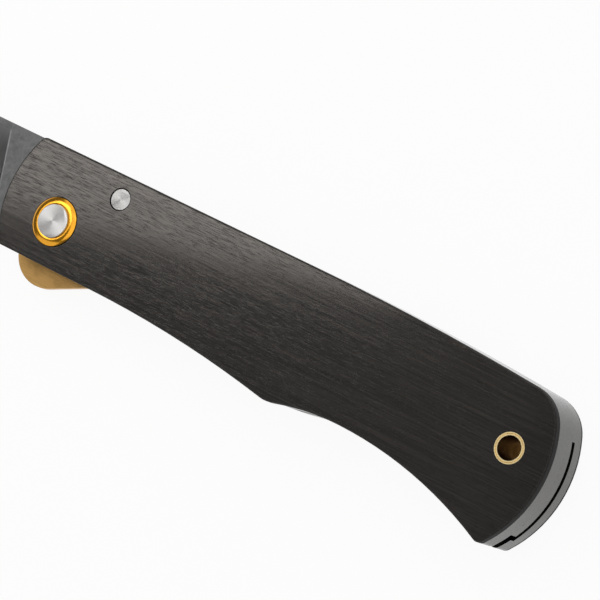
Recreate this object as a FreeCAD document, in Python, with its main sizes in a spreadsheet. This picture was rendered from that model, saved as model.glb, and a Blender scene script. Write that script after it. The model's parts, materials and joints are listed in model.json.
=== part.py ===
"""Folding pocket knife with a leaf lock, drawn open and lying on its far side.

X runs from the blade's tip to the butt, Y to the spine and Z up through the near face.
The origin is on the axis of the lanyard tube, where it meets the far face.
Every piece is drawn about the pivot axis and then set back by the distance to the tube.
"""
import FreeCAD
import Part
import math
import os
from types import SimpleNamespace

import Sketcher

SIZES = {
    # Handle outline, measured from the pivot axis
    "handle_front": 11.85,
    "front_radius": 21.4,
    "front_centre_height": 2.8,
    "spine_height": 12.72,
    "spine_straight": 50.5,
    "spine_drop_radius": 560.0,
    "corner_radius": 7.2,
    "butt_reach": 103.2,
    "butt_radius": 21.6,
    "butt_centre_drop": 1.9,
    "heel_drop": 16.2,
    "bump_reach": 52.2,
    "bump_drop": 11.27,
    "scoop_lead": 14.3,
    "scoop_depth": 2.07,
    "belly_radius": 231.0,
    "underside_drop": 7.83,
    "front_corner_round": 1.2,
    "bump_round": 5.0,
    "frame_bump_round": 24.0,
    "heel_round": 1.2,
    # Layers of the handle
    "scale_thickness": 1.8,
    "front_edge_round": 0.3,
    "rear_edge_land": 0.25,
    "plate_thickness": 4.0,
    "washer_thickness": 0.15,
    "running_gap": 0.02,
    # Blade
    "blade_thickness": 1.86,
    "tip_clearance": 2.3,
    "spine_step": 0.3,
    "tip_height": 6.3,
    "point_length": 38.0,
    "edge_drop": 5.0,
    "belly_length": 42.0,
    "edge_half_thickness": 0.05,
    "grind_height": 16.1,
    "grind_wheel_radius": 150.0,
    "plunge_reach": 15.75,
    "plunge_lean": 16.2,
    "choil_radius": 1.3,
    "tang_radius": 9.4,
    "tang_heel_setback": 1.1,
    "lock_face_reach": 7.1,
    "lock_step_drop": 1.7,
    "detent_hole_diameter": 1.5,
    "detent_hole_depth": 1.0,
    # Pivot
    "pivot_diameter": 5.0,
    "bushing_diameter": 6.6,
    "bore_gap": 0.03,
    "washer_diameter": 9.4,
    "pivot_head_diameter": 6.0,
    "pivot_head_proud": 0.8,
    "pivot_head_round": 0.1,
    "ring_wall": 1.34,
    "ring_rim_proud": 0.1,
    "ring_lip_proud": 0.4,
    "ring_crown_rise": 0.13,
    "rear_sink": 0.12,
    "pivot_screw_diameter": 3.0,
    "pivot_screw_length": 8.0,
    "pivot_hex_width": 2.5,
    "pivot_hex_depth": 1.0,
    "press_gap": 0.02,
    # Stop pin and lanyard tube
    "stop_pin_x": 10.1,
    "stop_pin_y": 8.54,
    "stop_pin_diameter": 3.85,
    "stop_pin_sink": 0.1,
    "stop_pin_round": 0.1,
    "stop_gap": 0.1,
    "scale_hole_gap": 0.15,
    "tube_inset": 7.4,
    "tube_diameter": 5.3,
    "tube_bore": 4.2,
    # Spacer
    "spacer_front_gap": 1.225,
    "spacer_clearance": 0.635,
    "spacer_slope_length": 18.3,
    "spacer_tube_wall": 0.85,
    "spacer_butt_bend_drop": 3.0,
    "butt_step_drop": 12.7,
    # Lock leaf and its pocket
    "leaf_thickness": 1.1,
    "leaf_gap": 0.08,
    "leaf_side_gap": 0.45,
    "lock_gap": 0.1,
    "leaf_top_drop": 2.0,
    "leaf_bottom_drop": 6.5,
    "leaf_neck_length": 9.0,
    "leaf_root_length": 13.0,
    "leaf_tube_gap": 1.15,
    "leaf_root_high": 2.0,
    "leaf_root_low": 9.0,
    "lobe_setback": 3.0,
    "lobe_centre_drop": 5.45,
    "lobe_radius": 6.55,
    "lobe_top_gap": 0.3,
    "lobe_run_out": 10.6,
    "slit_top": 5.2,
    "slit_drop": 13.6,
    "ball_diameter": 1.2,
    "ball_proud": 0.12,
    "ball_setback": 2.4,
    # Screws and dowels
    "frame_screw_shank": 2.5,
    "frame_screw_head": 4.4,
    "frame_screw_hex": 1.5,
    "frame_screw_lead": 10.8,
    "frame_screw_pitch": 26.0,
    "frame_screw_inset": 3.0,
    "frame_screw_bite": 3.0,
    "butt_screw_inset": 5.0,
    "butt_screw_drop": 8.4,
    "dowel_diameter": 2.0,
    "dowel_bite": 2.0,
    "rear_dowel_inset": 5.6,
    "rear_dowel_height": 6.2,
    "scale_screw_shank": 2.0,
    "scale_screw_head": 3.6,
    "scale_screw_hex": 1.3,
    "scale_screw_first": 22.0,
    "scale_screw_pitch": 24.0,
    "scale_screw_height": 3.0,
    "scale_screw_bite": 1.2,
    "leaf_screw_shank": 1.6,
    "leaf_screw_head": 2.4,
    "leaf_screw_hex": 0.9,
    "leaf_screw_pitch": 5.0,
    "leaf_screw_bite": 2.4,
    "screw_gap": 0.1,
    # Lightening slots under the grip plates
    "slot_length": 16.0,
    "slot_width": 7.0,
    "slot_depth": 2.2,
}

FRAME_SCREW_COUNT = 3
SCALE_SCREW_COUNT = 3
FULL_TURN = 360.0
PAST_OUTLINE = 40.0


class Dim:
    """A length with its present value and the sheet expression that gives it."""

    def __init__(self, value, text):
        self.value = float(value)
        self.text = text

    def __add__(self, other):
        return joined(self, "+", other, self.value + dim(other).value)

    def __sub__(self, other):
        return joined(self, "-", other, self.value - dim(other).value)

    def __mul__(self, other):
        return joined(self, "*", other, self.value * dim(other).value)

    def __truediv__(self, other):
        return joined(self, "/", other, self.value / dim(other).value)

    def __neg__(self):
        return Dim(-self.value, f"(-1 * {self.text})")


def dim(thing):
    """Takes a plain number as a length too."""
    if isinstance(thing, Dim):
        return thing
    return Dim(thing, f"{thing:.6f}")


def joined(left, sign, right, value):
    """Writes two lengths joined by a sign as one expression."""
    return Dim(value, f"({left.text} {sign} {dim(right).text})")


def bind(thing, path, length):
    """Binds a property of an object to the sheet."""
    thing.setExpression(path, dim(length).text)


document = FreeCAD.newDocument("PocketKnife")
sheet = document.addObject("Spreadsheet::Sheet", "Sizes")
for row, (alias, value) in enumerate(SIZES.items(), start=1):
    sheet.set(f"A{row}", alias)
    sheet.set(f"B{row}", str(value))
    sheet.setAlias(f"B{row}", alias)
document.recompute()
S = SimpleNamespace(**{alias: Dim(value, f"Sizes.{alias}") for alias, value in SIZES.items()})

# Heights of the layers above the far face
CHANNEL = S.blade_thickness + (S.washer_thickness + S.running_gap) * 2
REAR_PLATE_Z = S.scale_thickness
CHANNEL_Z = REAR_PLATE_Z + S.plate_thickness
FRONT_PLATE_Z = CHANNEL_Z + CHANNEL
FRONT_SCALE_Z = FRONT_PLATE_Z + S.plate_thickness
TOTAL = FRONT_SCALE_Z + S.scale_thickness
BLADE_Z = CHANNEL_Z + CHANNEL / 2
LEAF_POCKET = S.leaf_thickness + S.leaf_gap * 2
LEAF_Z = CHANNEL_Z - S.leaf_gap - S.leaf_thickness

# Places that several pieces share, measured from the pivot axis
TUBE_X = S.butt_reach - S.tube_inset
BUTT_FRONT = TUBE_X - S.tube_diameter / 2 - S.spacer_tube_wall
SPACER_FRONT = S.stop_pin_x + S.stop_pin_diameter / 2 + S.spacer_front_gap
FRAME_SCREW_Y = S.spine_height - S.frame_screw_inset
FRAME_SCREW_X = SPACER_FRONT + S.frame_screw_lead
BLADE_REACH = BUTT_FRONT - S.tip_clearance
RICASSO_DROP = S.stop_pin_y - S.stop_pin_diameter / 2 - S.stop_gap
LOBE_TOP_DROP = RICASSO_DROP + S.lobe_top_gap
LOCK_X = S.lock_face_reach + S.lock_gap
ROOT_END = TUBE_X - S.tube_diameter / 2 - S.leaf_tube_gap
ROOT_START = ROOT_END - S.leaf_root_length
NECK_X = ROOT_START - S.leaf_neck_length
BALL_X = LOCK_X + S.ball_setback
BALL_DROP = (S.leaf_top_drop + S.leaf_bottom_drop) / 2
RING_INSIDE = S.pivot_head_diameter / 2 + S.press_gap
RING_OUTSIDE = RING_INSIDE + S.ring_wall

pieces = []


def vector(point):
    return FreeCAD.Vector(point[0], point[1], 0)


def origin_plane(body, role):
    return [feature for feature in body.Origin.OriginFeatures if feature.Role == role][0]


def set_at(thing, x, y, z):
    """Places a piece or a primitive, given from the pivot axis and the far face."""
    bind(thing, "Placement.Base.x", x - TUBE_X)
    bind(thing, "Placement.Base.y", y)
    bind(thing, "Placement.Base.z", z)


def new_body(label, z):
    body = document.addObject("PartDesign::Body", label)
    set_at(body, dim(0), dim(0), z)
    pieces.append(body)
    return body


class Drawing:
    """A sketch on a plane of its own body, with its sizes bound to the sheet."""

    def __init__(self, body, name, plane="XY_Plane", height=None):
        self.sketch = body.newObject("Sketcher::SketchObject", name)
        self.sketch.AttachmentSupport = [(origin_plane(body, plane), "")]
        self.sketch.MapMode = "FlatFace"
        if height is not None:
            bind(self.sketch, "AttachmentOffset.Base.z", height)

    def relate(self, kind, *references):
        self.sketch.addConstraint(Sketcher.Constraint(kind, *references))

    def measure(self, kind, references, length):
        """Adds a dimension whose value comes from the sheet."""
        index = self.sketch.addConstraint(Sketcher.Constraint(kind, *references, length.value))
        self.sketch.setExpression(f"Constraints[{index}]", length.text)

    def place(self, end, x=None, y=None):
        """Dimensions a point, given as (curve, which point), from the sketch's origin."""
        if x is not None:
            self.measure("DistanceX", (-1, 1, *end), dim(x))
        if y is not None:
            self.measure("DistanceY", (-1, 1, *end), dim(y))

    def line(self, start, end, construction=False):
        """Returns the line's two ends."""
        curve = self.sketch.addGeometry(Part.LineSegment(vector(start), vector(end)), construction)
        return (curve, 1), (curve, 2)

    def arc(self, start, end, centre, clockwise=False):
        """Returns the arc's two ends, in the order in which they were given."""
        first, last = (end, start) if clockwise else (start, end)
        angles = [math.atan2(p[1] - centre[1], p[0] - centre[0]) for p in (first, last)]
        if angles[1] < angles[0]:
            angles[1] += 2 * math.pi
        circle = Part.Circle(vector(centre), FreeCAD.Vector(0, 0, 1), math.dist(first, centre))
        curve = self.sketch.addGeometry(Part.ArcOfCircle(circle, *angles))
        return ((curve, 2), (curve, 1)) if clockwise else ((curve, 1), (curve, 2))

    def circle(self, x, y, radius):
        x, y = dim(x), dim(y)
        shape = Part.Circle(vector((x.value, y.value)), FreeCAD.Vector(0, 0, 1), radius.value)
        curve = self.sketch.addGeometry(shape)
        self.place((curve, 3), x, y)
        self.measure("Radius", (curve,), radius)

    def polygon(self, corners):
        """Draws straight edges through corners that are each given by two lengths."""
        corners = [(dim(x), dim(y)) for x, y in corners]
        points = [(x.value, y.value) for x, y in corners]
        edges = [self.line(points[n - 1], points[n]) for n in range(len(points))]
        for n, corner in enumerate(corners):
            self.relate("Coincident", *edges[n][1], *edges[(n + 1) % len(edges)][0])
            self.place(edges[n][1], *corner)

    def slot(self, x, y, length, width):
        """Draws a slot along X with round ends, about a centre."""
        radius = width.value / 2
        left, right = x.value - length.value / 2 + radius, x.value + length.value / 2 - radius
        top, bottom = y.value + radius, y.value - radius
        low = self.line((left, bottom), (right, bottom))
        head = self.arc((right, bottom), (right, top), (right, y.value))
        high = self.line((right, top), (left, top))
        tail = self.arc((left, top), (left, bottom), (left, y.value))
        edges = [low, head, high, tail]
        for n, edge in enumerate(edges):
            self.relate("Tangent", *edge[1], *edges[(n + 1) % len(edges)][0])
        self.place((head[0][0], 3), x + length / 2 - width / 2, y)
        self.place((tail[0][0], 3), x - length / 2 + width / 2, y)
        self.measure("Radius", (head[0][0],), width / 2)


def pad(body, drawing, length, centred=False):
    feature = body.newObject("PartDesign::Pad", "Pad")
    feature.Profile = drawing.sketch
    feature.Midplane = centred
    bind(feature, "Length", length)
    document.recompute()
    return feature


def check_cut(body, feature, before):
    """Stops where a cut took nothing away."""
    document.recompute()
    if feature.Shape.isNull() or not feature.Shape.Volume < before - 1e-4:
        raise RuntimeError(f"{feature.Label} of {body.Label} removed nothing")


def pocket(body, drawing, name, depth=None, upward=True):
    """Cuts a drawing into the body, along its normal or against it, right through if no depth is given."""
    before = body.Shape.Volume
    feature = body.newObject("PartDesign::Pocket", name)
    feature.Profile = drawing.sketch
    feature.Reversed = upward
    if depth is None:
        feature.Type = "ThroughAll"
    else:
        bind(feature, "Length", depth)
    check_cut(body, feature, before)
    return feature


def revolution(body, drawing):
    feature = body.newObject("PartDesign::Revolution", "Revolution")
    feature.Profile = drawing.sketch
    feature.ReferenceAxis = (drawing.sketch, ["V_Axis"])
    feature.Angle = FULL_TURN
    document.recompute()
    return feature


def meeting(centre, radius, other, other_radius, side):
    """Where two circles meet: to the left (1) or right (-1) of the way from one centre to the other."""
    gap = math.dist(centre, other)
    along = (gap ** 2 + radius ** 2 - other_radius ** 2) / (2 * gap)
    aside = math.sqrt(radius ** 2 - along ** 2)
    ux, uy = (other[0] - centre[0]) / gap, (other[1] - centre[1]) / gap
    return (centre[0] + along * ux - side * aside * uy, centre[1] + along * uy + side * aside * ux)


def on_circle(centre, radius, towards):
    """The point of a circle that lies in line with its centre and another point beyond."""
    gap = math.dist(centre, towards)
    return tuple(c + (t - c) * radius / gap for c, t in zip(centre, towards))


def below_crest(crest, end):
    """Centre of the arc that leaves a crest level and falls to a lower point."""
    fall = crest[1] - end[1]
    return (crest[0], crest[1] - ((end[0] - crest[0]) ** 2 + fall ** 2) / (2 * fall))


def handle_points():
    """Corner points and arc centres of the handle outline, as numbers."""
    v = SimpleNamespace(**{alias: length.value for alias, length in vars(S).items()})
    p = SimpleNamespace()
    p.spine_end = (v.spine_straight, v.spine_height)
    p.drop_centre = (v.spine_straight, v.spine_height - v.spine_drop_radius)
    p.butt_centre = (v.butt_reach - v.butt_radius, -v.butt_centre_drop)
    p.corner_centre = meeting(
        p.drop_centre, v.spine_drop_radius - v.corner_radius,
        p.butt_centre, v.butt_radius - v.corner_radius, side=-1)
    p.corner_start = on_circle(p.drop_centre, v.spine_drop_radius, p.corner_centre)
    p.corner_end = on_circle(p.butt_centre, v.butt_radius, p.corner_centre)
    heel_reach = math.sqrt(v.butt_radius ** 2 - (v.heel_drop - v.butt_centre_drop) ** 2)
    p.heel = (p.butt_centre[0] + heel_reach, -v.heel_drop)
    p.bump = (v.bump_reach, -v.bump_drop)
    p.crest = (v.bump_reach + v.scoop_lead, v.scoop_depth - v.bump_drop)
    belly_fall = v.bump_drop - v.underside_drop
    belly_run = math.sqrt(v.belly_radius ** 2 - (v.belly_radius - belly_fall) ** 2)
    p.belly_end = (v.bump_reach - belly_run, -v.underside_drop)
    p.belly_centre = (p.belly_end[0], -v.underside_drop - v.belly_radius)
    p.front_centre = (v.front_radius - v.handle_front, v.front_centre_height)
    reach = [math.sqrt(v.front_radius ** 2 - (y - v.front_centre_height) ** 2)
             for y in (v.spine_height, -v.underside_drop)]
    p.front_top = (p.front_centre[0] - reach[0], v.spine_height)
    p.front_bottom = (p.front_centre[0] - reach[1], -v.underside_drop)
    return p


HANDLE = handle_points()


def handle_outline(body):
    """The outline that the grip plates, the slabs and the spacer share."""
    p = HANDLE
    d = Drawing(body, "HandleOutline")
    spine = d.line(p.front_top, p.spine_end)
    drop = d.arc(p.spine_end, p.corner_start, p.drop_centre, clockwise=True)
    corner = d.arc(p.corner_start, p.corner_end, p.corner_centre, clockwise=True)
    butt = d.arc(p.corner_end, p.heel, p.butt_centre, clockwise=True)
    tail = d.arc(p.heel, p.crest, below_crest(p.crest, p.heel))
    scoop = d.arc(p.crest, p.bump, below_crest(p.crest, p.bump))
    belly = d.arc(p.bump, p.belly_end, p.belly_centre)
    under = d.line(p.belly_end, p.front_bottom)
    front = d.arc(p.front_bottom, p.front_top, p.front_centre, clockwise=True)
    edges = [spine, drop, corner, butt, tail, scoop, belly, under, front]
    smooth = [(spine, drop), (drop, corner), (corner, butt), (tail, scoop), (belly, under)]
    for n, edge in enumerate(edges):
        following = edges[(n + 1) % len(edges)]
        kind = "Tangent" if (edge, following) in smooth else "Coincident"
        d.relate(kind, *edge[1], *following[0])
    for edge in (spine, under):
        d.relate("Horizontal", edge[0][0])
    d.place(spine[1], S.spine_straight, S.spine_height)
    d.place((butt[0][0], 3), S.butt_reach - S.butt_radius, -S.butt_centre_drop)
    d.place(butt[1], y=-S.heel_drop)
    d.place(scoop[1], S.bump_reach, -S.bump_drop)
    d.place(scoop[0], S.bump_reach + S.scoop_lead, S.scoop_depth - S.bump_drop)
    d.place((scoop[0][0], 3), x=S.bump_reach + S.scoop_lead)
    d.place(under[0], y=-S.underside_drop)
    d.place((front[0][0], 3), S.front_radius - S.handle_front, S.front_centre_height)
    radii = [(drop, S.spine_drop_radius), (corner, S.corner_radius), (butt, S.butt_radius),
             (belly, S.belly_radius), (front, S.front_radius)]
    for edge, radius in radii:
        d.measure("Radius", (edge[0][0],), radius)
    return d


def upright_edges(shape, point):
    """Names of the edges that stand upright at a point of the outline."""
    names = []
    for n, edge in enumerate(shape.Edges, start=1):
        ends = [vertex.Point for vertex in edge.Vertexes]
        if all(math.dist((end.x, end.y), point) < 1e-3 for end in ends):
            names.append(f"Edge{n}")
    return names


def rim_edges(shape, height):
    """Names of the edges that lie in the face at a height."""
    return [f"Edge{n}" for n, edge in enumerate(shape.Edges, start=1)
            if all(abs(vertex.Point.z - height) < 1e-6 for vertex in edge.Vertexes)]


def round_edges(body, base, edges, radius, name):
    """Rounds edges of a feature."""
    feature = body.newObject("PartDesign::Fillet", name)
    feature.Base = (base, edges)
    bind(feature, "Radius", radius)
    document.recompute()
    return feature


def handle_layer(label, z, thickness, bump_round):
    """One layer of the handle, with the rounds at its corners."""
    body = new_body(label, z)
    base = pad(body, handle_outline(body), thickness)
    rounds = [([HANDLE.front_top, HANDLE.front_bottom], S.front_corner_round, "FrontCorners"),
              ([HANDLE.bump], bump_round, "BumpRound"),
              ([HANDLE.heel], S.heel_round, "HeelRound")]
    for points, radius, name in rounds:
        edges = [edge for point in points for edge in upright_edges(base.Shape, point)]
        base = round_edges(body, base, edges, radius, name)
    return body, base


def through_holes(body, name, holes):
    """Cuts round holes, each given by its centre and its diameter, right through a layer."""
    d = Drawing(body, name)
    for x, y, diameter in holes:
        d.circle(x, y, diameter / 2)
    return pocket(body, d, name + "Cut")


def countersinks(body, name, spots, shank, head, height=None, upward=True):
    """Cuts the cones that flat screw heads sit in: each is a taper from the head to the shank."""
    depth = (head - shank) / 2
    d = Drawing(body, name, height=height)
    for x, y in spots:
        d.circle(x, y, head / 2 + S.screw_gap)
    feature = pocket(body, d, name + "Cut", depth, upward)
    feature.TaperAngle = -45.0
    document.recompute()
    return feature


def line_of_spots(first, pitch, count, y):
    return [(first + pitch * n, y) for n in range(count)]


FRAME_SCREW_SPOTS = line_of_spots(FRAME_SCREW_X, S.frame_screw_pitch, FRAME_SCREW_COUNT, FRAME_SCREW_Y)
FRAME_SCREW_SPOTS.append((S.butt_reach - S.butt_screw_inset, -S.butt_screw_drop))
DOWEL_SPOTS = [(FRAME_SCREW_X + S.frame_screw_pitch / 2, FRAME_SCREW_Y),
               (S.butt_reach - S.rear_dowel_inset, S.rear_dowel_height)]
SCALE_SCREW_SPOTS = line_of_spots(
    S.scale_screw_first, S.scale_screw_pitch, SCALE_SCREW_COUNT, S.scale_screw_height)
LEAF_SCREW_SPOTS = [
    ((ROOT_START + ROOT_END) / 2, (S.leaf_root_high - S.leaf_root_low + S.leaf_screw_pitch * side) / 2)
    for side in (1, -1)]
SLOT_SPOTS = [(S.scale_screw_first + S.scale_screw_pitch * (n + 0.5), dim(0))
              for n in range(SCALE_SCREW_COUNT - 1)]
TUBE_HOLE = (TUBE_X, dim(0), S.tube_diameter + S.press_gap * 2)


def grip_scale(label, z, outer_at_top):
    """A wooden grip plate; the rear one is rounded over almost its whole edge, and more at the bump."""
    bump_round = S.bump_round if outer_at_top else S.frame_bump_round
    body, base = handle_layer(label, z, S.scale_thickness, bump_round)
    outer = S.scale_thickness.value if outer_at_top else 0.0
    edge_round = S.front_edge_round if outer_at_top else S.scale_thickness - S.rear_edge_land
    round_edges(body, base, rim_edges(base.Shape, outer), edge_round, "RoundedEdge")
    through_holes(body, "HardwareHoles", [
        (dim(0), dim(0), (RING_OUTSIDE + S.scale_hole_gap) * 2),
        (S.stop_pin_x, S.stop_pin_y, S.stop_pin_diameter + S.scale_hole_gap * 2),
        TUBE_HOLE])
    inner = None if outer_at_top else S.scale_thickness
    pilots = Drawing(body, "ScrewPilots", height=inner)
    for x, y in SCALE_SCREW_SPOTS:
        pilots.circle(x, y, S.scale_screw_shank / 2 + S.press_gap)
    pocket(body, pilots, "ScrewPilotCut", S.scale_screw_bite + S.screw_gap, upward=outer_at_top)
    return body


def frame_plate(label, z, outer_at_top):
    """A metal slab of the frame, with the holes that both slabs share."""
    body = handle_layer(label, z, S.plate_thickness, S.frame_bump_round)[0]
    outer = S.plate_thickness if outer_at_top else None
    inner = None if outer_at_top else S.plate_thickness
    through_holes(body, "HardwareHoles", [
        (dim(0), dim(0), S.pivot_diameter + S.press_gap * 2),
        (S.stop_pin_x, S.stop_pin_y, S.stop_pin_diameter + S.press_gap * 2),
        TUBE_HOLE])
    through_holes(body, "ScaleScrewHoles", [
        (x, y, S.scale_screw_shank + S.screw_gap * 2) for x, y in SCALE_SCREW_SPOTS])
    countersinks(body, "ScaleScrewSinks", SCALE_SCREW_SPOTS, S.scale_screw_shank, S.scale_screw_head,
                 inner, upward=outer_at_top)
    slots = Drawing(body, "LighteningSlots", height=outer)
    for x, y in SLOT_SPOTS:
        slots.slot(x, y, S.slot_length, S.slot_width)
    pocket(body, slots, "LighteningCut", S.slot_depth, upward=not outer_at_top)
    dowels = Drawing(body, "DowelHoles", height=inner)
    for x, y in DOWEL_SPOTS:
        dowels.circle(x, y, S.dowel_diameter / 2 + S.press_gap)
    pocket(body, dowels, "DowelCut", S.dowel_bite + S.screw_gap, upward=outer_at_top)
    return body


def front_frame_plate():
    """The near slab, tapped for the frame screws."""
    body = frame_plate("front_frame_plate", FRONT_PLATE_Z, outer_at_top=True)
    taps = Drawing(body, "FrameScrewTaps")
    for x, y in FRAME_SCREW_SPOTS:
        taps.circle(x, y, S.frame_screw_shank / 2 + S.press_gap)
    pocket(body, taps, "FrameScrewTapCut", S.frame_screw_bite + S.screw_gap)


def rear_frame_plate():
    """The far slab, with the pocket that takes the lock leaf and breaks out at the butt as a slit."""
    body = frame_plate("rear_frame_plate", REAR_PLATE_Z, outer_at_top=False)
    through_holes(body, "FrameScrewHoles", [
        (x, y, S.frame_screw_shank + S.screw_gap * 2) for x, y in FRAME_SCREW_SPOTS])
    countersinks(body, "FrameScrewSinks", FRAME_SCREW_SPOTS, S.frame_screw_shank, S.frame_screw_head)
    gap = S.leaf_side_gap
    lobe_front = -S.lobe_setback - S.lobe_radius - gap
    lock_end = LOCK_X - gap
    strip_top, strip_bottom = gap - S.leaf_top_drop, -S.leaf_bottom_drop - gap
    root_start, lobe_top = ROOT_START - gap, gap - LOBE_TOP_DROP
    below, beyond = dim(-PAST_OUTLINE), S.butt_reach + PAST_OUTLINE
    d = Drawing(body, "LeafPocket", height=S.plate_thickness)
    d.polygon([
        (lock_end, strip_top), (lock_end, lobe_top), (lobe_front, lobe_top), (lobe_front, below),
        (S.lobe_run_out + gap, below), (S.lobe_run_out + gap, strip_bottom),
        (NECK_X, strip_bottom), (root_start, -S.slit_drop), (beyond, -S.slit_drop),
        (beyond, S.slit_top), (root_start, S.slit_top), (NECK_X, strip_top)])
    pocket(body, d, "LeafPocketCut", LEAF_POCKET, upward=False)
    relief = Drawing(body, "BallRelief", height=S.plate_thickness - LEAF_POCKET)
    relief.circle(BALL_X, -BALL_DROP, S.ball_diameter / 2 + S.leaf_gap)
    pocket(body, relief, "BallReliefCut", S.ball_diameter / 2, upward=False)
    taps = Drawing(body, "LeafScrewTaps", height=S.plate_thickness - LEAF_POCKET)
    for x, y in LEAF_SCREW_SPOTS:
        taps.circle(x, y, S.leaf_screw_shank / 2 + S.press_gap)
    pocket(body, taps, "LeafScrewTapCut", S.leaf_screw_bite, upward=False)


def back_spacer():
    """Fills the blade channel along the spine and round the butt, down to the step."""
    body = handle_layer("back_spacer", CHANNEL_Z, CHANNEL, S.frame_bump_round)[0]
    under = RICASSO_DROP + S.spacer_clearance
    above, ahead, beyond = dim(PAST_OUTLINE), -S.handle_front - PAST_OUTLINE, S.butt_reach + PAST_OUTLINE
    d = Drawing(body, "BladeSpace")
    d.polygon([
        (ahead, above), (SPACER_FRONT, above), (SPACER_FRONT, under),
        (BUTT_FRONT - S.spacer_slope_length, under), (BUTT_FRONT, -S.spacer_butt_bend_drop),
        (BUTT_FRONT, -S.butt_step_drop), (beyond, -S.butt_step_drop),
        (beyond, -above), (ahead, -above)])
    pocket(body, d, "BladeSpaceCut")
    holes = [(x, y, S.frame_screw_shank + S.screw_gap * 2) for x, y in FRAME_SCREW_SPOTS]
    holes += [(x, y, S.dowel_diameter + S.press_gap * 2) for x, y in DOWEL_SPOTS]
    through_holes(body, "FixingHoles", holes + [TUBE_HOLE])


def lock_leaf():
    """Spring leaf with its lock end, its thumb lobe below the handle and its root at the butt."""
    body = new_body("lock_leaf", LEAF_Z)
    d = Drawing(body, "LeafOutline")
    lobe_top, bottom = -LOBE_TOP_DROP, -S.leaf_bottom_drop
    centre = (-S.lobe_setback, -S.lobe_centre_drop)
    centre_point = (centre[0].value, centre[1].value)
    radius = S.lobe_radius.value
    rise = lobe_top.value - centre_point[1]
    lobe_start = (centre_point[0] - math.sqrt(radius ** 2 - rise ** 2), lobe_top.value)
    run_out = (S.lobe_run_out.value, bottom.value)
    half = math.dist(run_out, centre_point) / 2
    middle = tuple((a + b) / 2 for a, b in zip(run_out, centre_point))
    lobe_end = meeting(centre_point, radius, middle, half, side=-1)
    corners = [
        (S.lobe_run_out, bottom), (NECK_X, bottom), (ROOT_START, -S.leaf_root_low),
        (ROOT_END, -S.leaf_root_low), (ROOT_END, S.leaf_root_high), (ROOT_START, S.leaf_root_high),
        (NECK_X, -S.leaf_top_drop), (LOCK_X, -S.leaf_top_drop), (LOCK_X, lobe_top)]
    points = [(x.value, y.value) for x, y in corners]
    lobe = d.arc(lobe_start, lobe_end, centre_point)
    slope = d.line(lobe_end, points[0])
    edges = [lobe, slope] + [d.line(*ends) for ends in zip(points, points[1:])]
    edges.append(d.line(points[-1], lobe_start))
    for n, edge in enumerate(edges):
        kind = "Tangent" if edge is lobe else "Coincident"
        d.relate(kind, *edge[1], *edges[(n + 1) % len(edges)][0])
    for edge, corner in zip(edges[1:], corners):
        d.place(edge[1], *corner)
    d.place(lobe[0], y=lobe_top)
    d.place((lobe[0][0], 3), *centre)
    d.measure("Radius", (lobe[0][0],), S.lobe_radius)
    pad(body, d, S.leaf_thickness)
    through_holes(body, "FixingHoles", [
        (x, y, S.leaf_screw_shank + S.screw_gap * 2) for x, y in LEAF_SCREW_SPOTS])
    countersinks(body, "ScrewSinks", LEAF_SCREW_SPOTS, S.leaf_screw_shank, S.leaf_screw_head,
                 S.leaf_thickness, upward=False)
    through_holes(body, "BallSeat", [(BALL_X, -BALL_DROP, S.ball_diameter + S.press_gap * 2)])


def detent_ball():
    ball = document.addObject("Part::Sphere", "detent_ball")
    bind(ball, "Radius", S.ball_diameter / 2)
    set_at(ball, BALL_X, -BALL_DROP, LEAF_Z + S.leaf_thickness + S.ball_proud - S.ball_diameter / 2)
    pieces.append(ball)


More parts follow.
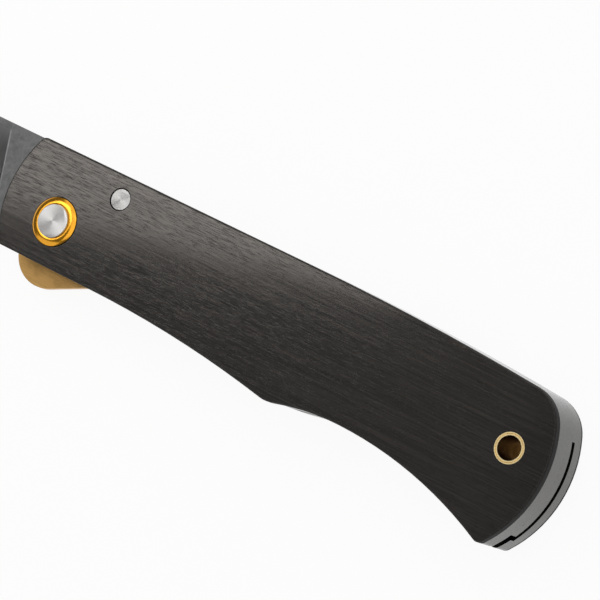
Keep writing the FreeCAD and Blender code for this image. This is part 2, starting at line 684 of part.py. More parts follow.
def blade_outline(body):
    """The blade from its tip to its tang, with the face that meets the stop pin and the lock face."""
    d = Drawing(body, "BladeOutline")
    spine_y, edge_y = S.spine_height - S.spine_step, -S.edge_drop
    point_x, belly_x = S.point_length - BLADE_REACH, S.belly_length - BLADE_REACH
    heel_x = S.stop_pin_x - S.tang_heel_setback
    tip = (-BLADE_REACH, S.tip_height)
    tip_point = (tip[0].value, tip[1].value)
    fall, rise = spine_y.value - tip_point[1], tip_point[1] - edge_y.value
    point_radius = (S.point_length.value ** 2 + fall ** 2) / (2 * fall)
    belly_radius = (S.belly_length.value ** 2 + rise ** 2) / (2 * rise)
    pin = (S.stop_pin_x, S.stop_pin_y)
    pin_gap = S.stop_pin_diameter.value / 2 + S.stop_gap.value
    reach = math.hypot(pin[0].value, pin[1].value)
    along = (pin[0].value / reach, pin[1].value / reach)
    foot = (-pin_gap * along[1], pin_gap * along[0])
    slide = math.sqrt(S.tang_radius.value ** 2 - pin_gap ** 2)
    stop_inner = (foot[0] + slide * along[0], foot[1] + slide * along[1])
    climb = (heel_x.value - foot[0]) / along[0]
    stop_outer = (heel_x.value, foot[1] + climb * along[1])
    step_y, bottom = -S.lock_step_drop, -RICASSO_DROP
    step = (math.sqrt(S.tang_radius.value ** 2 - step_y.value ** 2), step_y.value)
    lock_top = (S.lock_face_reach.value, step_y.value)
    lock_bottom = (S.lock_face_reach.value, bottom.value)
    heel = (-S.plunge_reach.value, bottom.value)
    heel_top = (-S.plunge_reach.value, edge_y.value)
    belly_start = (belly_x.value, edge_y.value)
    point_start = (point_x.value, spine_y.value)
    tang_top = (heel_x.value, spine_y.value)
    point = d.arc(point_start, tip_point, (point_start[0], point_start[1] - point_radius))
    belly = d.arc(tip_point, belly_start, (belly_start[0], belly_start[1] + belly_radius))
    edge = d.line(belly_start, heel_top)
    choil = d.line(heel_top, heel)
    under = d.line(heel, lock_bottom)
    lock = d.line(lock_bottom, lock_top)
    shelf = d.line(lock_top, step)
    tang = d.arc(step, stop_inner, (0, 0))
    stop = d.line(stop_inner, stop_outer)
    back = d.line(stop_outer, tang_top)
    spine = d.line(tang_top, point_start)
    edges = [point, belly, edge, choil, under, lock, shelf, tang, stop, back, spine]
    for n, side in enumerate(edges):
        following = edges[(n + 1) % len(edges)]
        smooth = side is spine or side is belly
        d.relate("Tangent" if smooth else "Coincident", *side[1], *following[0])
    d.place(point[1], *tip)
    d.place(belly[1], belly_x, edge_y)
    d.place(edge[1], -S.plunge_reach, edge_y)
    d.place(choil[1], -S.plunge_reach, bottom)
    d.place(under[1], S.lock_face_reach, bottom)
    d.place(lock[1], S.lock_face_reach, step_y)
    d.place(shelf[1], y=step_y)
    d.place((tang[0][0], 3), 0, 0)
    d.measure("Radius", (tang[0][0],), S.tang_radius)
    d.place(stop[1], x=heel_x)
    d.place(back[1], heel_x, spine_y)
    d.place(spine[1], point_x, spine_y)
    radius_line = d.line((0, 0), (pin[0].value, pin[1].value), construction=True)
    d.place(radius_line[0], 0, 0)
    d.place(radius_line[1], *pin)
    d.relate("Parallel", stop[0][0], radius_line[0][0])
    d.measure("Distance", (*radius_line[1], stop[0][0]), S.stop_pin_diameter / 2 + S.stop_gap)
    d.circle(dim(0), dim(0), S.bushing_diameter / 2 + S.bore_gap)
    return d, belly_radius


def grind_profile(body, belly_x, belly_radius):
    """Section of the hollow grind on both sides, with the axis that it follows round the belly."""
    d = Drawing(body, "GrindSection", plane="YZ_Plane", height=belly_x)
    edge_y, shoulder_y = -S.edge_drop, S.grind_height - S.edge_drop
    edge_z, face_z = S.edge_half_thickness, S.blade_thickness / 2
    outside_z, outside_y = S.blade_thickness, -S.edge_drop * 2
    axis_y = edge_y.value + belly_radius
    axis = d.line((axis_y, 0), (axis_y, face_z.value), construction=True)
    for end in axis:
        d.place(end, x=belly_centre_height())
    for side in (1, -1):
        edge = (edge_y.value, edge_z.value * side)
        shoulder = (shoulder_y.value, face_z.value * side)
        chord = math.dist(edge, shoulder)
        stand = math.sqrt(S.grind_wheel_radius.value ** 2 - chord ** 2 / 4)
        normal = (-(shoulder[1] - edge[1]) / chord * side, (shoulder[0] - edge[0]) / chord * side)
        centre = tuple((a + b) / 2 + n * stand for a, b, n in zip(edge, shoulder, normal))
        corners = [(shoulder_y, outside_z * side), (outside_y, outside_z * side), (outside_y, edge_z * side)]
        points = [shoulder] + [(x.value, y.value) for x, y in corners] + [edge]
        hollow = d.arc(edge, shoulder, centre, clockwise=side < 0)
        lines = [d.line(*ends) for ends in zip(points, points[1:])]
        edges = [hollow] + lines
        for n, line in enumerate(edges):
            d.relate("Coincident", *line[1], *edges[(n + 1) % len(edges)][0])
        d.place(hollow[0], edge_y, edge_z * side)
        d.place(hollow[1], shoulder_y, face_z * side)
        d.measure("Radius", (hollow[0][0],), S.grind_wheel_radius)
        for line, corner in zip(lines, corners):
            d.place(line[1], *corner)
    return d


def belly_centre_height():
    """Height of the centre that the belly of the edge is drawn about."""
    rise = S.tip_height + S.edge_drop
    return (S.belly_length * S.belly_length + rise * rise) / (rise * 2) - S.edge_drop


def blade():
    """Hollow-ground blade with its ricasso, tang, pivot bore and detent hole."""
    body = new_body("blade", BLADE_Z)
    outline, belly_radius = blade_outline(body)
    pad(body, outline, S.blade_thickness, centred=True)
    belly_x = S.belly_length - BLADE_REACH
    section = grind_profile(body, belly_x, belly_radius)
    plunge = body.newObject("PartDesign::Plane", "PlungePlane")
    plunge.AttachmentSupport = [(origin_plane(body, "YZ_Plane"), "")]
    plunge.MapMode = "FlatFace"
    turn = FreeCAD.Rotation(FreeCAD.Vector(0, 1, 0), S.plunge_lean.value)
    plunge.AttachmentOffset = FreeCAD.Placement(FreeCAD.Vector(0, 0, 0), turn)
    bind(plunge, "AttachmentOffset.Rotation.Angle", S.plunge_lean)
    bind(plunge, "AttachmentOffset.Base.x", -S.edge_drop)
    bind(plunge, "AttachmentOffset.Base.z", -S.plunge_reach)
    before = body.Shape.Volume
    straight = body.newObject("PartDesign::Pocket", "StraightGrind")
    straight.Profile = section.sketch
    straight.Reversed = True
    straight.Type = "UpToFace"
    straight.UpToFace = (plunge, [""])
    check_cut(body, straight, before)
    before = body.Shape.Volume
    belly = body.newObject("PartDesign::Groove", "BellyGrind")
    belly.Profile = section.sketch
    belly.ReferenceAxis = (section.sketch, ["Axis0"])
    belly.Angle = 90.0
    belly.Reversed = True
    check_cut(body, belly, before)
    choil = Drawing(body, "Choil", height=-S.blade_thickness / 2)
    choil.circle(-S.plunge_reach, -S.edge_drop - S.choil_radius / 2, S.choil_radius)
    pocket(body, choil, "ChoilCut")
    detent = Drawing(body, "DetentHole", height=-S.blade_thickness / 2)
    detent.circle(-BALL_X, BALL_DROP, S.detent_hole_diameter / 2)
    pocket(body, detent, "DetentHoleCut", S.detent_hole_depth)


def turned_piece(label, z, corners):
    """A round piece about the pivot axis, turned from a section of straight edges: (radius, height)."""
    body = new_body(label, z)
    d = Drawing(body, "Section", plane="XZ_Plane")
    d.polygon(corners)
    return body, revolution(body, d)


def circle_edges(shape, radius, height):
    """Names of the round edges of a radius that lie at a height."""
    return [f"Edge{n}" for n, edge in enumerate(shape.Edges, start=1)
            if isinstance(edge.Curve, Part.Circle)
            and abs(edge.Curve.Radius - radius) < 1e-4
            and abs(edge.Curve.Center.z - height) < 1e-4]


def pivot_pieces():
    """Barrel, screw, bushing, washers and far ring of the pivot."""
    shaft, head = S.pivot_diameter / 2, S.pivot_head_diameter / 2
    thread = S.pivot_screw_diameter / 2 + S.press_gap
    shaft_end = S.screw_gap - (S.plate_thickness * 2 + CHANNEL)
    thread_end = shaft_end + S.pivot_screw_length
    head_top = S.scale_thickness + S.pivot_head_proud
    body, turned = turned_piece("pivot_barrel", FRONT_SCALE_Z, [
        (thread, shaft_end), (shaft, shaft_end), (shaft, 0), (head, 0), (head, head_top), (0, head_top),
        (0, thread_end), (thread, thread_end)])
    rim = circle_edges(turned.Shape, head.value, head_top.value)
    round_edges(body, turned, rim, S.pivot_head_round, "RoundedRim")

    head_depth = REAR_PLATE_Z - S.rear_sink
    body, turned = turned_piece("pivot_screw", S.rear_sink, [
        (0, 0), (head, 0), (head, head_depth), (S.pivot_screw_diameter / 2, head_depth),
        (S.pivot_screw_diameter / 2, head_depth + S.pivot_screw_length - S.screw_gap),
        (0, head_depth + S.pivot_screw_length - S.screw_gap)])
    hexagon = Drawing(body, "HexSocket")
    corner = S.pivot_hex_width / math.sqrt(3)
    angles = [math.pi * n / 3 for n in range(6)]
    hexagon.polygon([(corner * math.cos(angle), corner * math.sin(angle)) for angle in angles])
    pocket(body, hexagon, "HexSocketCut", S.pivot_hex_depth)

    bore, outside = shaft + S.press_gap, S.bushing_diameter / 2
    turned_piece("pivot_bushing", CHANNEL_Z, [(bore, 0), (outside, 0), (outside, CHANNEL), (bore, CHANNEL)])
    inside, outside = outside + S.press_gap, S.washer_diameter / 2
    for label, z in (("rear_washer", CHANNEL_Z), ("front_washer", FRONT_PLATE_Z - S.washer_thickness)):
        turned_piece(label, z, [
            (inside, 0), (outside, 0), (outside, S.washer_thickness), (inside, S.washer_thickness)])

    turned_piece("rear_pivot_ring", S.rear_sink, [
        (RING_INSIDE, 0), (RING_OUTSIDE, 0), (RING_OUTSIDE, head_depth), (RING_INSIDE, head_depth)])


def front_pivot_ring():
    """Ring whose face bulges between its outer rim and a higher inner lip."""
    body = new_body("front_pivot_ring", FRONT_SCALE_Z)
    d = Drawing(body, "Section", plane="XZ_Plane")
    rim, lip = S.scale_thickness + S.ring_rim_proud, S.scale_thickness + S.ring_lip_proud
    slope, rise = S.ring_lip_proud - S.ring_rim_proud, S.ring_crown_rise
    crown_radius = (S.ring_wall * S.ring_wall + slope * slope) / (rise * 8) + rise / 2
    low_in, low_out = (RING_INSIDE.value, 0.0), (RING_OUTSIDE.value, 0.0)
    high_out, high_in = (RING_OUTSIDE.value, rim.value), (RING_INSIDE.value, lip.value)
    chord = math.dist(high_out, high_in)
    stand = crown_radius.value - rise.value
    normal = ((high_in[1] - high_out[1]) / chord, (high_out[0] - high_in[0]) / chord)
    centre = tuple((a + b) / 2 - n * stand for a, b, n in zip(high_out, high_in, normal))
    edges = [d.line(low_in, low_out), d.line(low_out, high_out), d.arc(high_out, high_in, centre),
             d.line(high_in, low_in)]
    for n, edge in enumerate(edges):
        d.relate("Coincident", *edge[1], *edges[(n + 1) % len(edges)][0])
    corners = [(RING_OUTSIDE, 0), (RING_OUTSIDE, rim), (RING_INSIDE, lip), (RING_INSIDE, 0)]
    for edge, corner in zip(edges, corners):
        d.place(edge[1], *corner)
    d.measure("Radius", (edges[2][0][0],), crown_radius)
    revolution(body, d)


def stop_pin():
    body = new_body("stop_pin", S.stop_pin_sink)
    d = Drawing(body, "Section")
    d.circle(S.stop_pin_x, S.stop_pin_y, S.stop_pin_diameter / 2)
    length = TOTAL - S.stop_pin_sink * 2
    pin = pad(body, d, length)
    rims = [edge for height in (0.0, length.value)
            for edge in circle_edges(pin.Shape, S.stop_pin_diameter.value / 2, height)]
    round_edges(body, pin, rims, S.stop_pin_round, "RoundedRims")


def lanyard_tube():
    body = new_body("lanyard_tube", dim(0))
    d = Drawing(body, "Section")
    d.circle(TUBE_X, dim(0), S.tube_diameter / 2)
    d.circle(TUBE_X, dim(0), S.tube_bore / 2)
    pad(body, d, TOTAL)


def group(label, members):
    """One node of several separate solids."""
    compound = document.addObject("Part::Compound", label)
    compound.Links = members
    pieces.append(compound)


def flat_head_screws(label, spots, sizes, length, z, downward):
    """Flat-head screws, each a cone on a shank with a six-sided socket, with their heads at one height."""
    shank, head, hex_width = sizes
    screws = []
    for n, (x, y) in enumerate(spots, start=1):
        cone = document.addObject("Part::Cone", f"{label}_head_{n}")
        bind(cone, "Radius1", head / 2)
        bind(cone, "Radius2", shank / 2)
        bind(cone, "Height", (head - shank) / 2)
        rod = document.addObject("Part::Cylinder", f"{label}_shank_{n}")
        bind(rod, "Radius", shank / 2)
        bind(rod, "Height", length)
        blank = document.addObject("Part::Fuse", f"{label}_blank_{n}")
        blank.Base = cone
        blank.Tool = rod
        socket = document.addObject("Part::Prism", f"{label}_socket_{n}")
        socket.Polygon = 6
        bind(socket, "Circumradius", hex_width / math.sqrt(3))
        bind(socket, "Height", hex_width / 2)
        screw = document.addObject("Part::Cut", f"{label}_{n}")
        screw.Base = blank
        screw.Tool = socket
        if downward:
            turn = FreeCAD.Rotation(FreeCAD.Vector(1, 0, 0), 180)
            screw.Placement = FreeCAD.Placement(FreeCAD.Vector(0, 0, 0), turn)
        set_at(screw, x, y, z)
        screws.append(screw)
    group(label, screws)


def fixings():
    """The screws and dowels inside the handle."""
    frame_sizes = (S.frame_screw_shank, S.frame_screw_head, S.frame_screw_hex)
    scale_sizes = (S.scale_screw_shank, S.scale_screw_head, S.scale_screw_hex)
    leaf_sizes = (S.leaf_screw_shank, S.leaf_screw_head, S.leaf_screw_hex)
    frame_reach = S.plate_thickness + CHANNEL + S.frame_screw_bite
    scale_reach = S.plate_thickness + S.scale_screw_bite
    leaf_reach = S.leaf_thickness + S.leaf_screw_bite
    leaf_top = LEAF_Z + S.leaf_thickness
    flat_head_screws("frame_screws", FRAME_SCREW_SPOTS, frame_sizes, frame_reach, REAR_PLATE_Z,
                     downward=False)
    flat_head_screws("front_scale_screws", SCALE_SCREW_SPOTS, scale_sizes, scale_reach, FRONT_PLATE_Z,
                     downward=False)
    flat_head_screws("rear_scale_screws", SCALE_SCREW_SPOTS, scale_sizes, scale_reach, CHANNEL_Z,
                     downward=True)
    flat_head_screws("lock_leaf_screws", LEAF_SCREW_SPOTS, leaf_sizes, leaf_reach, leaf_top, downward=True)
    dowels = []
    for n, (x, y) in enumerate(DOWEL_SPOTS, start=1):
        dowel = document.addObject("Part::Cylinder", f"frame_dowel_{n}")
        bind(dowel, "Radius", S.dowel_diameter / 2)
        bind(dowel, "Height", CHANNEL + S.dowel_bite * 2)
        set_at(dowel, x, y, CHANNEL_Z - S.dowel_bite)
        dowels.append(dowel)
    group("frame_dowels", dowels)


grip_scale("front_scale", FRONT_SCALE_Z, outer_at_top=True)
grip_scale("rear_scale", dim(0), outer_at_top=False)
front_frame_plate()
rear_frame_plate()
back_spacer()
lock_leaf()
detent_ball()
blade()
pivot_pieces()
front_pivot_ring()
stop_pin()
lanyard_tube()
fixings()
document.recompute()

for thing in document.Objects:
    if "Invalid" in thing.State or "Error" in thing.State:
        raise RuntimeError(f"{thing.Label} failed: {thing.State}")
os.makedirs("parts", exist_ok=True)
for piece in pieces:
    if piece.Shape.isNull() or not piece.Shape.isValid():
        raise RuntimeError(f"{piece.Label} has no valid shape")
for piece in pieces:
    piece.Shape.exportStep(f"parts/{piece.Label}.step")
    print(f"{piece.Label}: {len(piece.Shape.Solids)} solid, {piece.Shape.Volume:.1f} mm3")
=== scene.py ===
"""Looks of a folding pocket knife: ebony grip plates, steel slabs, a hollow-ground blade and a brass leaf."""

import json
import math

import bmesh
import bpy
from bpy.props import FloatProperty, FloatVectorProperty, IntProperty, PointerProperty
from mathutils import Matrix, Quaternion, Vector

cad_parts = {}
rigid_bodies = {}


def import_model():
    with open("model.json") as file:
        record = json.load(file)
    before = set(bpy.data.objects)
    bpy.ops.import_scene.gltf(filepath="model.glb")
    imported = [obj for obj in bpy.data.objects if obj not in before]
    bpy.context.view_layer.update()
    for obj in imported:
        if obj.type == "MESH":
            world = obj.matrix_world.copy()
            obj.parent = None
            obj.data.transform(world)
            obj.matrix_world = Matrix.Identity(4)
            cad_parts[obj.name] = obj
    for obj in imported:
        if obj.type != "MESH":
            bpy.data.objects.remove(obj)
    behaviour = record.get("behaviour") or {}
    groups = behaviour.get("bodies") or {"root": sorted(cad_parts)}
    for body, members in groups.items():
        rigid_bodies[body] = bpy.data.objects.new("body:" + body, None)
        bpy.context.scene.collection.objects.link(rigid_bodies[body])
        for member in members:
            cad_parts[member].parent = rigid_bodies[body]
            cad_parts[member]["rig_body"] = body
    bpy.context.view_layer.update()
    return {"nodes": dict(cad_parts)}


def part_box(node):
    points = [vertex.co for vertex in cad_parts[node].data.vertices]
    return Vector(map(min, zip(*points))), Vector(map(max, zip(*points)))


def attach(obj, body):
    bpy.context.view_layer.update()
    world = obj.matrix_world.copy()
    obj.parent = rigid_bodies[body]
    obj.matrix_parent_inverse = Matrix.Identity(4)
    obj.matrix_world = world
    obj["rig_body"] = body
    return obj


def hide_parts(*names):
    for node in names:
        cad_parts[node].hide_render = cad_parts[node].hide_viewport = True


bl_info = {
    "name": "Folding pocket knife",
    "version": (1, 0, 0),
    "blender": (4, 5, 0),
    "location": "View3D > Sidebar > Knife",
    "description": "Dresses the parts of a folding pocket knife and sets up its stage",
    "category": "Object",
}

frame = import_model()
MERGE_DISTANCE = 1e-6
TURN = 2 * math.pi
# Z part of a face's normal: above the first the face is level, below the others it is steep or upright.
LEVEL_NORMAL = 0.9999
STEEP_NORMAL = 0.4
UPRIGHT_NORMAL = 0.01
# Each softbox has a place, a size and a power among the stage's settings.
SOFTBOXES = ("left", "front", "top", "back")


def colour(label, note, default):
    return FloatVectorProperty(name=label, description=note, subtype="COLOR", size=3, min=0, max=1,
                               default=default)


def length(label, note, default):
    return FloatProperty(name=label, description=note, subtype="DISTANCE", unit="LENGTH", default=default)


def place(label, note, default):
    return FloatVectorProperty(name=label, description=note, subtype="TRANSLATION", size=3, default=default)


def number(label, note, default):
    return FloatProperty(name=label, description=note, min=0, default=default)


def power(label, note, default):
    return FloatProperty(name=label, description=note, unit="POWER", min=0, default=default)


class KnifeColours(bpy.types.PropertyGroup):
    """Colours of the finishes"""

    wood_dark: colour("Dark wood", "Ground colour of the ebony", (0.0205, 0.0197, 0.0193))
    wood_light: colour("Light wood", "Paler streaks of the ebony", (0.0400, 0.0350, 0.0322))
    wood_hair: colour("Wood hairlines", "Thin pale lines in the ebony", (0.12, 0.085, 0.055))
    sheen: colour("Wood sheen", "Tint of the light that the oiled ebony throws back", (1.0, 0.92, 0.85))
    slab: colour("Slabs", "Blasted steel of the slabs and the spacer", (0.098, 0.096, 0.092))
    # Painted shade: a near-black colour that stands in for the shade on the slabs' and spacer's inner faces.
    inner: colour("Inner faces", "Oiled inner faces of the slabs and the spacer", (0.012, 0.011, 0.010))
    blade_flat: colour("Blade flat", "Tumbled steel of the blade's flats", (0.164, 0.165, 0.164))
    blade_grind: colour("Blade grind", "Satin steel of the hollow grind", (0.124, 0.124, 0.122))
    gold: colour("Pivot rings", "Polished gold of the pivot rings", (0.85, 0.385, 0.016))
    steel: colour("Turned steel", "Steel of the pivot and the stop pin", (0.57, 0.56, 0.545))
    # Painted shade: the stop pin's steel is the pivot's made darker, as more light falls on it.
    pin_painted_shade: number("Stop pin share", "Brightness of the stop pin's steel against the pivot's", 0.82)
    leaf: colour("Lock leaf", "Brass of the lock leaf", (0.60, 0.36, 0.126))
    tube: colour("Lanyard tube", "Pale brass of the lanyard tube", (1.0, 0.78, 0.42))
    # Painted shade: this dark colour stands in for the shade down the tube's bore.
    bore_painted_shade: colour("Tube bore", "Dark brass down the lanyard tube", (0.045, 0.029, 0.016))
    bore_glance: colour("Bore glance", "Tint of the light that glances off the bore", (0.80, 0.60, 0.46))
    bronze: colour("Washers", "Bronze of the washers and the bushing", (0.55, 0.33, 0.16))
    screw: colour("Screws", "Dark steel of the screws", (0.20, 0.20, 0.21))


class KnifeSizes(bpy.types.PropertyGroup):
    """Sizes of surface detail and of pieces made here"""

    soft_angle: FloatProperty(name="Soft angle", description="Edges flatter than this are shaded smooth",
                              subtype="ANGLE", unit="ROTATION", default=math.radians(36))
    grain_length: length("Grain length", "Length of the ebony's streaks", 0.014)
    grain_width: length("Grain width", "Width of the ebony's streaks", 0.00028)
    hair_start: length("Hairlines start", "Place along the handle where pale hairlines set in", -0.045)
    hair_full: length("Hairlines full", "Place from which the hairlines are at their palest", -0.005)
    butt_start: length("Dark butt start", "Place along the handle where the ebony begins to darken", -0.003)
    butt_full: length("Dark butt full", "Place from which the ebony is at its darkest", 0.006)
    blast_grit: length("Blast grit", "Size of the pits on blasted steel", 0.00016)
    blast_cloud: length("Blast cloud", "Width of the clouds on blasted steel", 0.006)
    tumble_mark: length("Tumble mark", "Length of the marks on tumbled steel", 0.0012)
    brush_line: length("Brush line", "Width of the lines on brushed metal", 0.00006)
    satin_stroke: length("Satin stroke", "Length of the lines on the hollow grind", 0.012)
    leaf_stroke: length("Leaf stroke", "Length of the lines on the lock leaf", 0.006)
    tarnish: length("Tarnish", "Width of the tarnished spots on the lock leaf", 0.002)
    smear: length("Smear", "Size of the smears on polished gold", 0.0016)
    draw_line: length("Draw line", "Width of the draw lines on the lanyard tube", 0.0003)
    draw_length: length("Draw length", "Length of the draw lines on the lanyard tube", 0.004)
    stain: length("Stain", "Size of the stains on plain metal", 0.0015)
    turning_pitch: length("Turning pitch", "Pitch of the turning marks", 0.00012)
    ring_inside: length("Ring inside", "Inner radius of the pivot rings", 0.00302)
    ring_crown: length("Ring crown", "Rise of the front ring's crown over its chord", 0.00013)
    ring_rim: length("Ring rim", "Drop from the front ring's lip to its rim", 0.0003)
    ring_break: length("Ring edge break", "Chamfer on the rings' plain edges", 0.00008)
    ring_steps: IntProperty(name="Ring steps", description="Faces round a ring or tube", min=24, default=144)
    crown_steps: IntProperty(name="Crown steps", description="Faces across a ring's crown", min=2, default=14)
    tube_inside: length("Tube inside", "Inner radius of the lanyard tube", 0.0021)
    tube_groove: length("Tube groove", "Radius of the fine groove in the lanyard tube's ends", 0.00240)
    groove_half: length("Groove half width", "Half the width of that groove", 0.00006)
    groove_depth: length("Groove depth", "Depth of that groove", 0.00012)
    spine_low: length("Spine wear start", "Height at which the slabs begin to be worn smooth", 0.0095)
    spine_high: length("Spine wear end", "Height from which the slabs are worn smooth", 0.0122)
    # The bright edge is a painted highlight in a lighter steel.
    plunge_line: length("Plunge line", "Width of the bright edge between the flat and the grind", 0.0003)
    plunge_lean: FloatProperty(name="Plunge lean", description="Most that the grind's end wall leans",
                               subtype="ANGLE", unit="ROTATION", default=math.radians(26))
    plunge_drop: length("Plunge drop", "Drop of that edge at its lower end", 0.00004)
    grind_start: length("Grind start", "Depth below the flats from which a face is in the grind", 0.000002)
    grind_shoulder: length("Grind shoulder", "Drop from the blade's spine to the top of the grind", 0.00132)
    grind_fade: length("Grind fade", "Height over which the grind darkens below its shoulder", 0.004)
    thread_pitch: length("Thread pitch", "Pitch of the screws' threads", 0.00045)
    thread_depth: length("Thread depth", "Depth of the screws' threads", 0.00014)


class KnifeStage(bpy.types.PropertyGroup):
    """Camera, lights and floor"""

    camera_place: place("Camera", "Place of the camera", (0.191843, 0.014901, 0.479027))
    camera_target: place("Camera target", "Point at the middle of the picture", (-0.045671, 0.006589, 0.0138))
    camera_roll: FloatProperty(name="Camera roll", description="Turn of the camera about its own axis",
                               subtype="ANGLE", unit="ROTATION", default=math.radians(66.15))
    focal_length: FloatProperty(name="Focal length", description="Focal length in millimetres",
                                unit="CAMERA", default=186.96)
    floor_colour: colour("Floor", "Colour of the floor", (0.97, 0.97, 0.97))
    floor_glow: FloatProperty(name="Floor white", description="Share of plain white in the visible floor",
                              subtype="FACTOR", min=0, max=1, default=0.93)
    floor_size: length("Floor size", "Side of the floor", 6.0)
    floor_fibre: length("Floor fibre", "Size of the fibres in the floor's paper", 0.004)
    backdrop_height: length("Backdrop height", "Height of the paper turned up at the floor's edges", 0.7)
    sky: number("Sky", "Brightness of the surroundings", 0.16)
    left_place: place("Left softbox place", "Place of the left softbox", (-0.231, 0.0685, 0.270))
    left_size: length("Left softbox size", "Side of the left softbox", 0.14)
    left_power: power("Left softbox", "Sheen on the grip plate's front end", 0.170)
    left_turn: FloatProperty(name="Left softbox turn", description="Turn of the edge that bounds the sheen",
                             subtype="ANGLE", unit="ROTATION", default=math.radians(11))
    front_place: place("Front softbox place", "Place of the front softbox", (-0.453, -0.561, 0.541))
    front_size: length("Front softbox size", "Side of the front softbox", 0.70)
    front_power: power("Front softbox", "Light on the pivot from the belly's side", 1.15)
    top_place: place("Top softbox place", "Place of the top softbox", (0.27, 0.08, 1.0))
    top_size: length("Top softbox size", "Side of the top softbox", 1.10)
    top_power: power("Top softbox", "Light from overhead", 3.9)
    back_place: place("Back softbox place", "Place of the back softbox", (-0.10, 0.75, 0.55))
    back_size: length("Back softbox size", "Side of the back softbox", 1.00)
    back_power: power("Back softbox", "Light along the spine", 2.8)


def tinted(value, share):
    """A colour made lighter or darker."""
    return tuple(min(1.0, channel * share) for channel in value)


class Tree:
    """Nodes of a material or of a geometry group."""

    def __init__(self, tree):
        self.tree = tree

    def add(self, kind, settings=(), **sockets):
        """Adds a node, sets its options, and sets or links its sockets by name."""
        node = self.tree.nodes.new(kind)
        for option, value in dict(settings).items():
            setattr(node, option, value)
        for name, value in sockets.items():
            self.feed(node.inputs[name], value)
        return node

    def feed(self, socket, value):
        if isinstance(value, bpy.types.NodeSocket):
            self.tree.links.new(value, socket)
        else:
            socket.default_value = value

    def math(self, operation, *values):
        node = self.add("ShaderNodeMath", {"operation": operation})
        for socket, value in zip(node.inputs, values):
            self.feed(socket, value)
        return node.outputs["Value"]


class Finish(Tree):
    """A procedural material, built up node by node on Object coordinates."""

    def __init__(self, name, metallic):
        self.material = bpy.data.materials.new(name)
        self.material.use_nodes = True
        super().__init__(self.material.node_tree)
        self.shader = self.tree.nodes["Principled BSDF"]
        self.shader.inputs["Metallic"].default_value = metallic
        self.place = self.add("ShaderNodeTexCoord").outputs["Object"]

    def measured(self, size, centre=(0, 0, 0), turn=0.0):
        """Coordinates in which one step is one feature of that size, turned about Z."""
        return self.add("ShaderNodeMapping", {"vector_type": "TEXTURE"}, Vector=self.place, Location=centre,
                        Rotation=(0, 0, turn), Scale=size).outputs["Vector"]

    def noise(self, size, detail=3.0, rough=0.55, twist=0.0, turn=0.0):
        """Noise whose features have the given size along each axis."""
        return self.add("ShaderNodeTexNoise", Vector=self.measured(size, turn=turn), Scale=1.0, Detail=detail,
                        Roughness=rough, Distortion=twist).outputs["Fac"]

    def rings(self, pitch, centre):
        """Turning marks round an axis along Z."""
        return self.add("ShaderNodeTexWave", {"wave_type": "RINGS", "rings_direction": "Z"},
                        Vector=self.measured((pitch, pitch, pitch), centre), Scale=0.32, Distortion=0.6,
                        Detail=2.0, **{"Detail Scale": 2.0}).outputs["Fac"]

    def ranged(self, value, low, high, bottom=0.0, top=1.0):
        """Maps a stretch of a value onto another, held at both ends."""
        limits = {"From Min": low, "From Max": high, "To Min": bottom, "To Max": top}
        return self.add("ShaderNodeMapRange", Value=value, **limits).outputs["Result"]

    def mixed(self, share, first, second):
        """One colour turning into another."""
        node = self.add("ShaderNodeMix", {"data_type": "RGBA"}, Factor=share)
        for socket, value in ((node.inputs[6], first), (node.inputs[7], second)):
            self.feed(socket, value if isinstance(value, bpy.types.NodeSocket) else (*value, 1.0))
        return node.outputs[2]

    def toned(self, value, low, high, shade, dark, light):
        """A shade that goes from a darker to a lighter tint over a stretch of a value."""
        return self.mixed(self.ranged(value, low, high), tinted(shade, dark), tinted(shade, light))

    def stained(self, ground, value, low, high, share, stain):
        """A colour with some of another laid over it where a value is high."""
        return self.mixed(self.ranged(value, low, high, 0.0, share), ground, stain)

    def axis(self, name):
        """One of the Object coordinates."""
        return self.add("ShaderNodeSeparateXYZ", Vector=self.place).outputs[name]

    def coloured(self, value):
        self.feed(self.shader.inputs["Base Color"], value)

    def roughened(self, value):
        self.feed(self.shader.inputs["Roughness"], value)

    def bumped(self, height, depth, strength=1.0):
        """Relief of a real depth, on top of any relief set before."""
        bump = self.add("ShaderNodeBump", Height=height, Distance=depth, Strength=strength)
        normal = self.shader.inputs["Normal"]
        if normal.is_linked:
            self.tree.links.new(normal.links[0].from_socket, bump.inputs["Normal"])
        self.tree.links.new(bump.outputs["Normal"], normal)


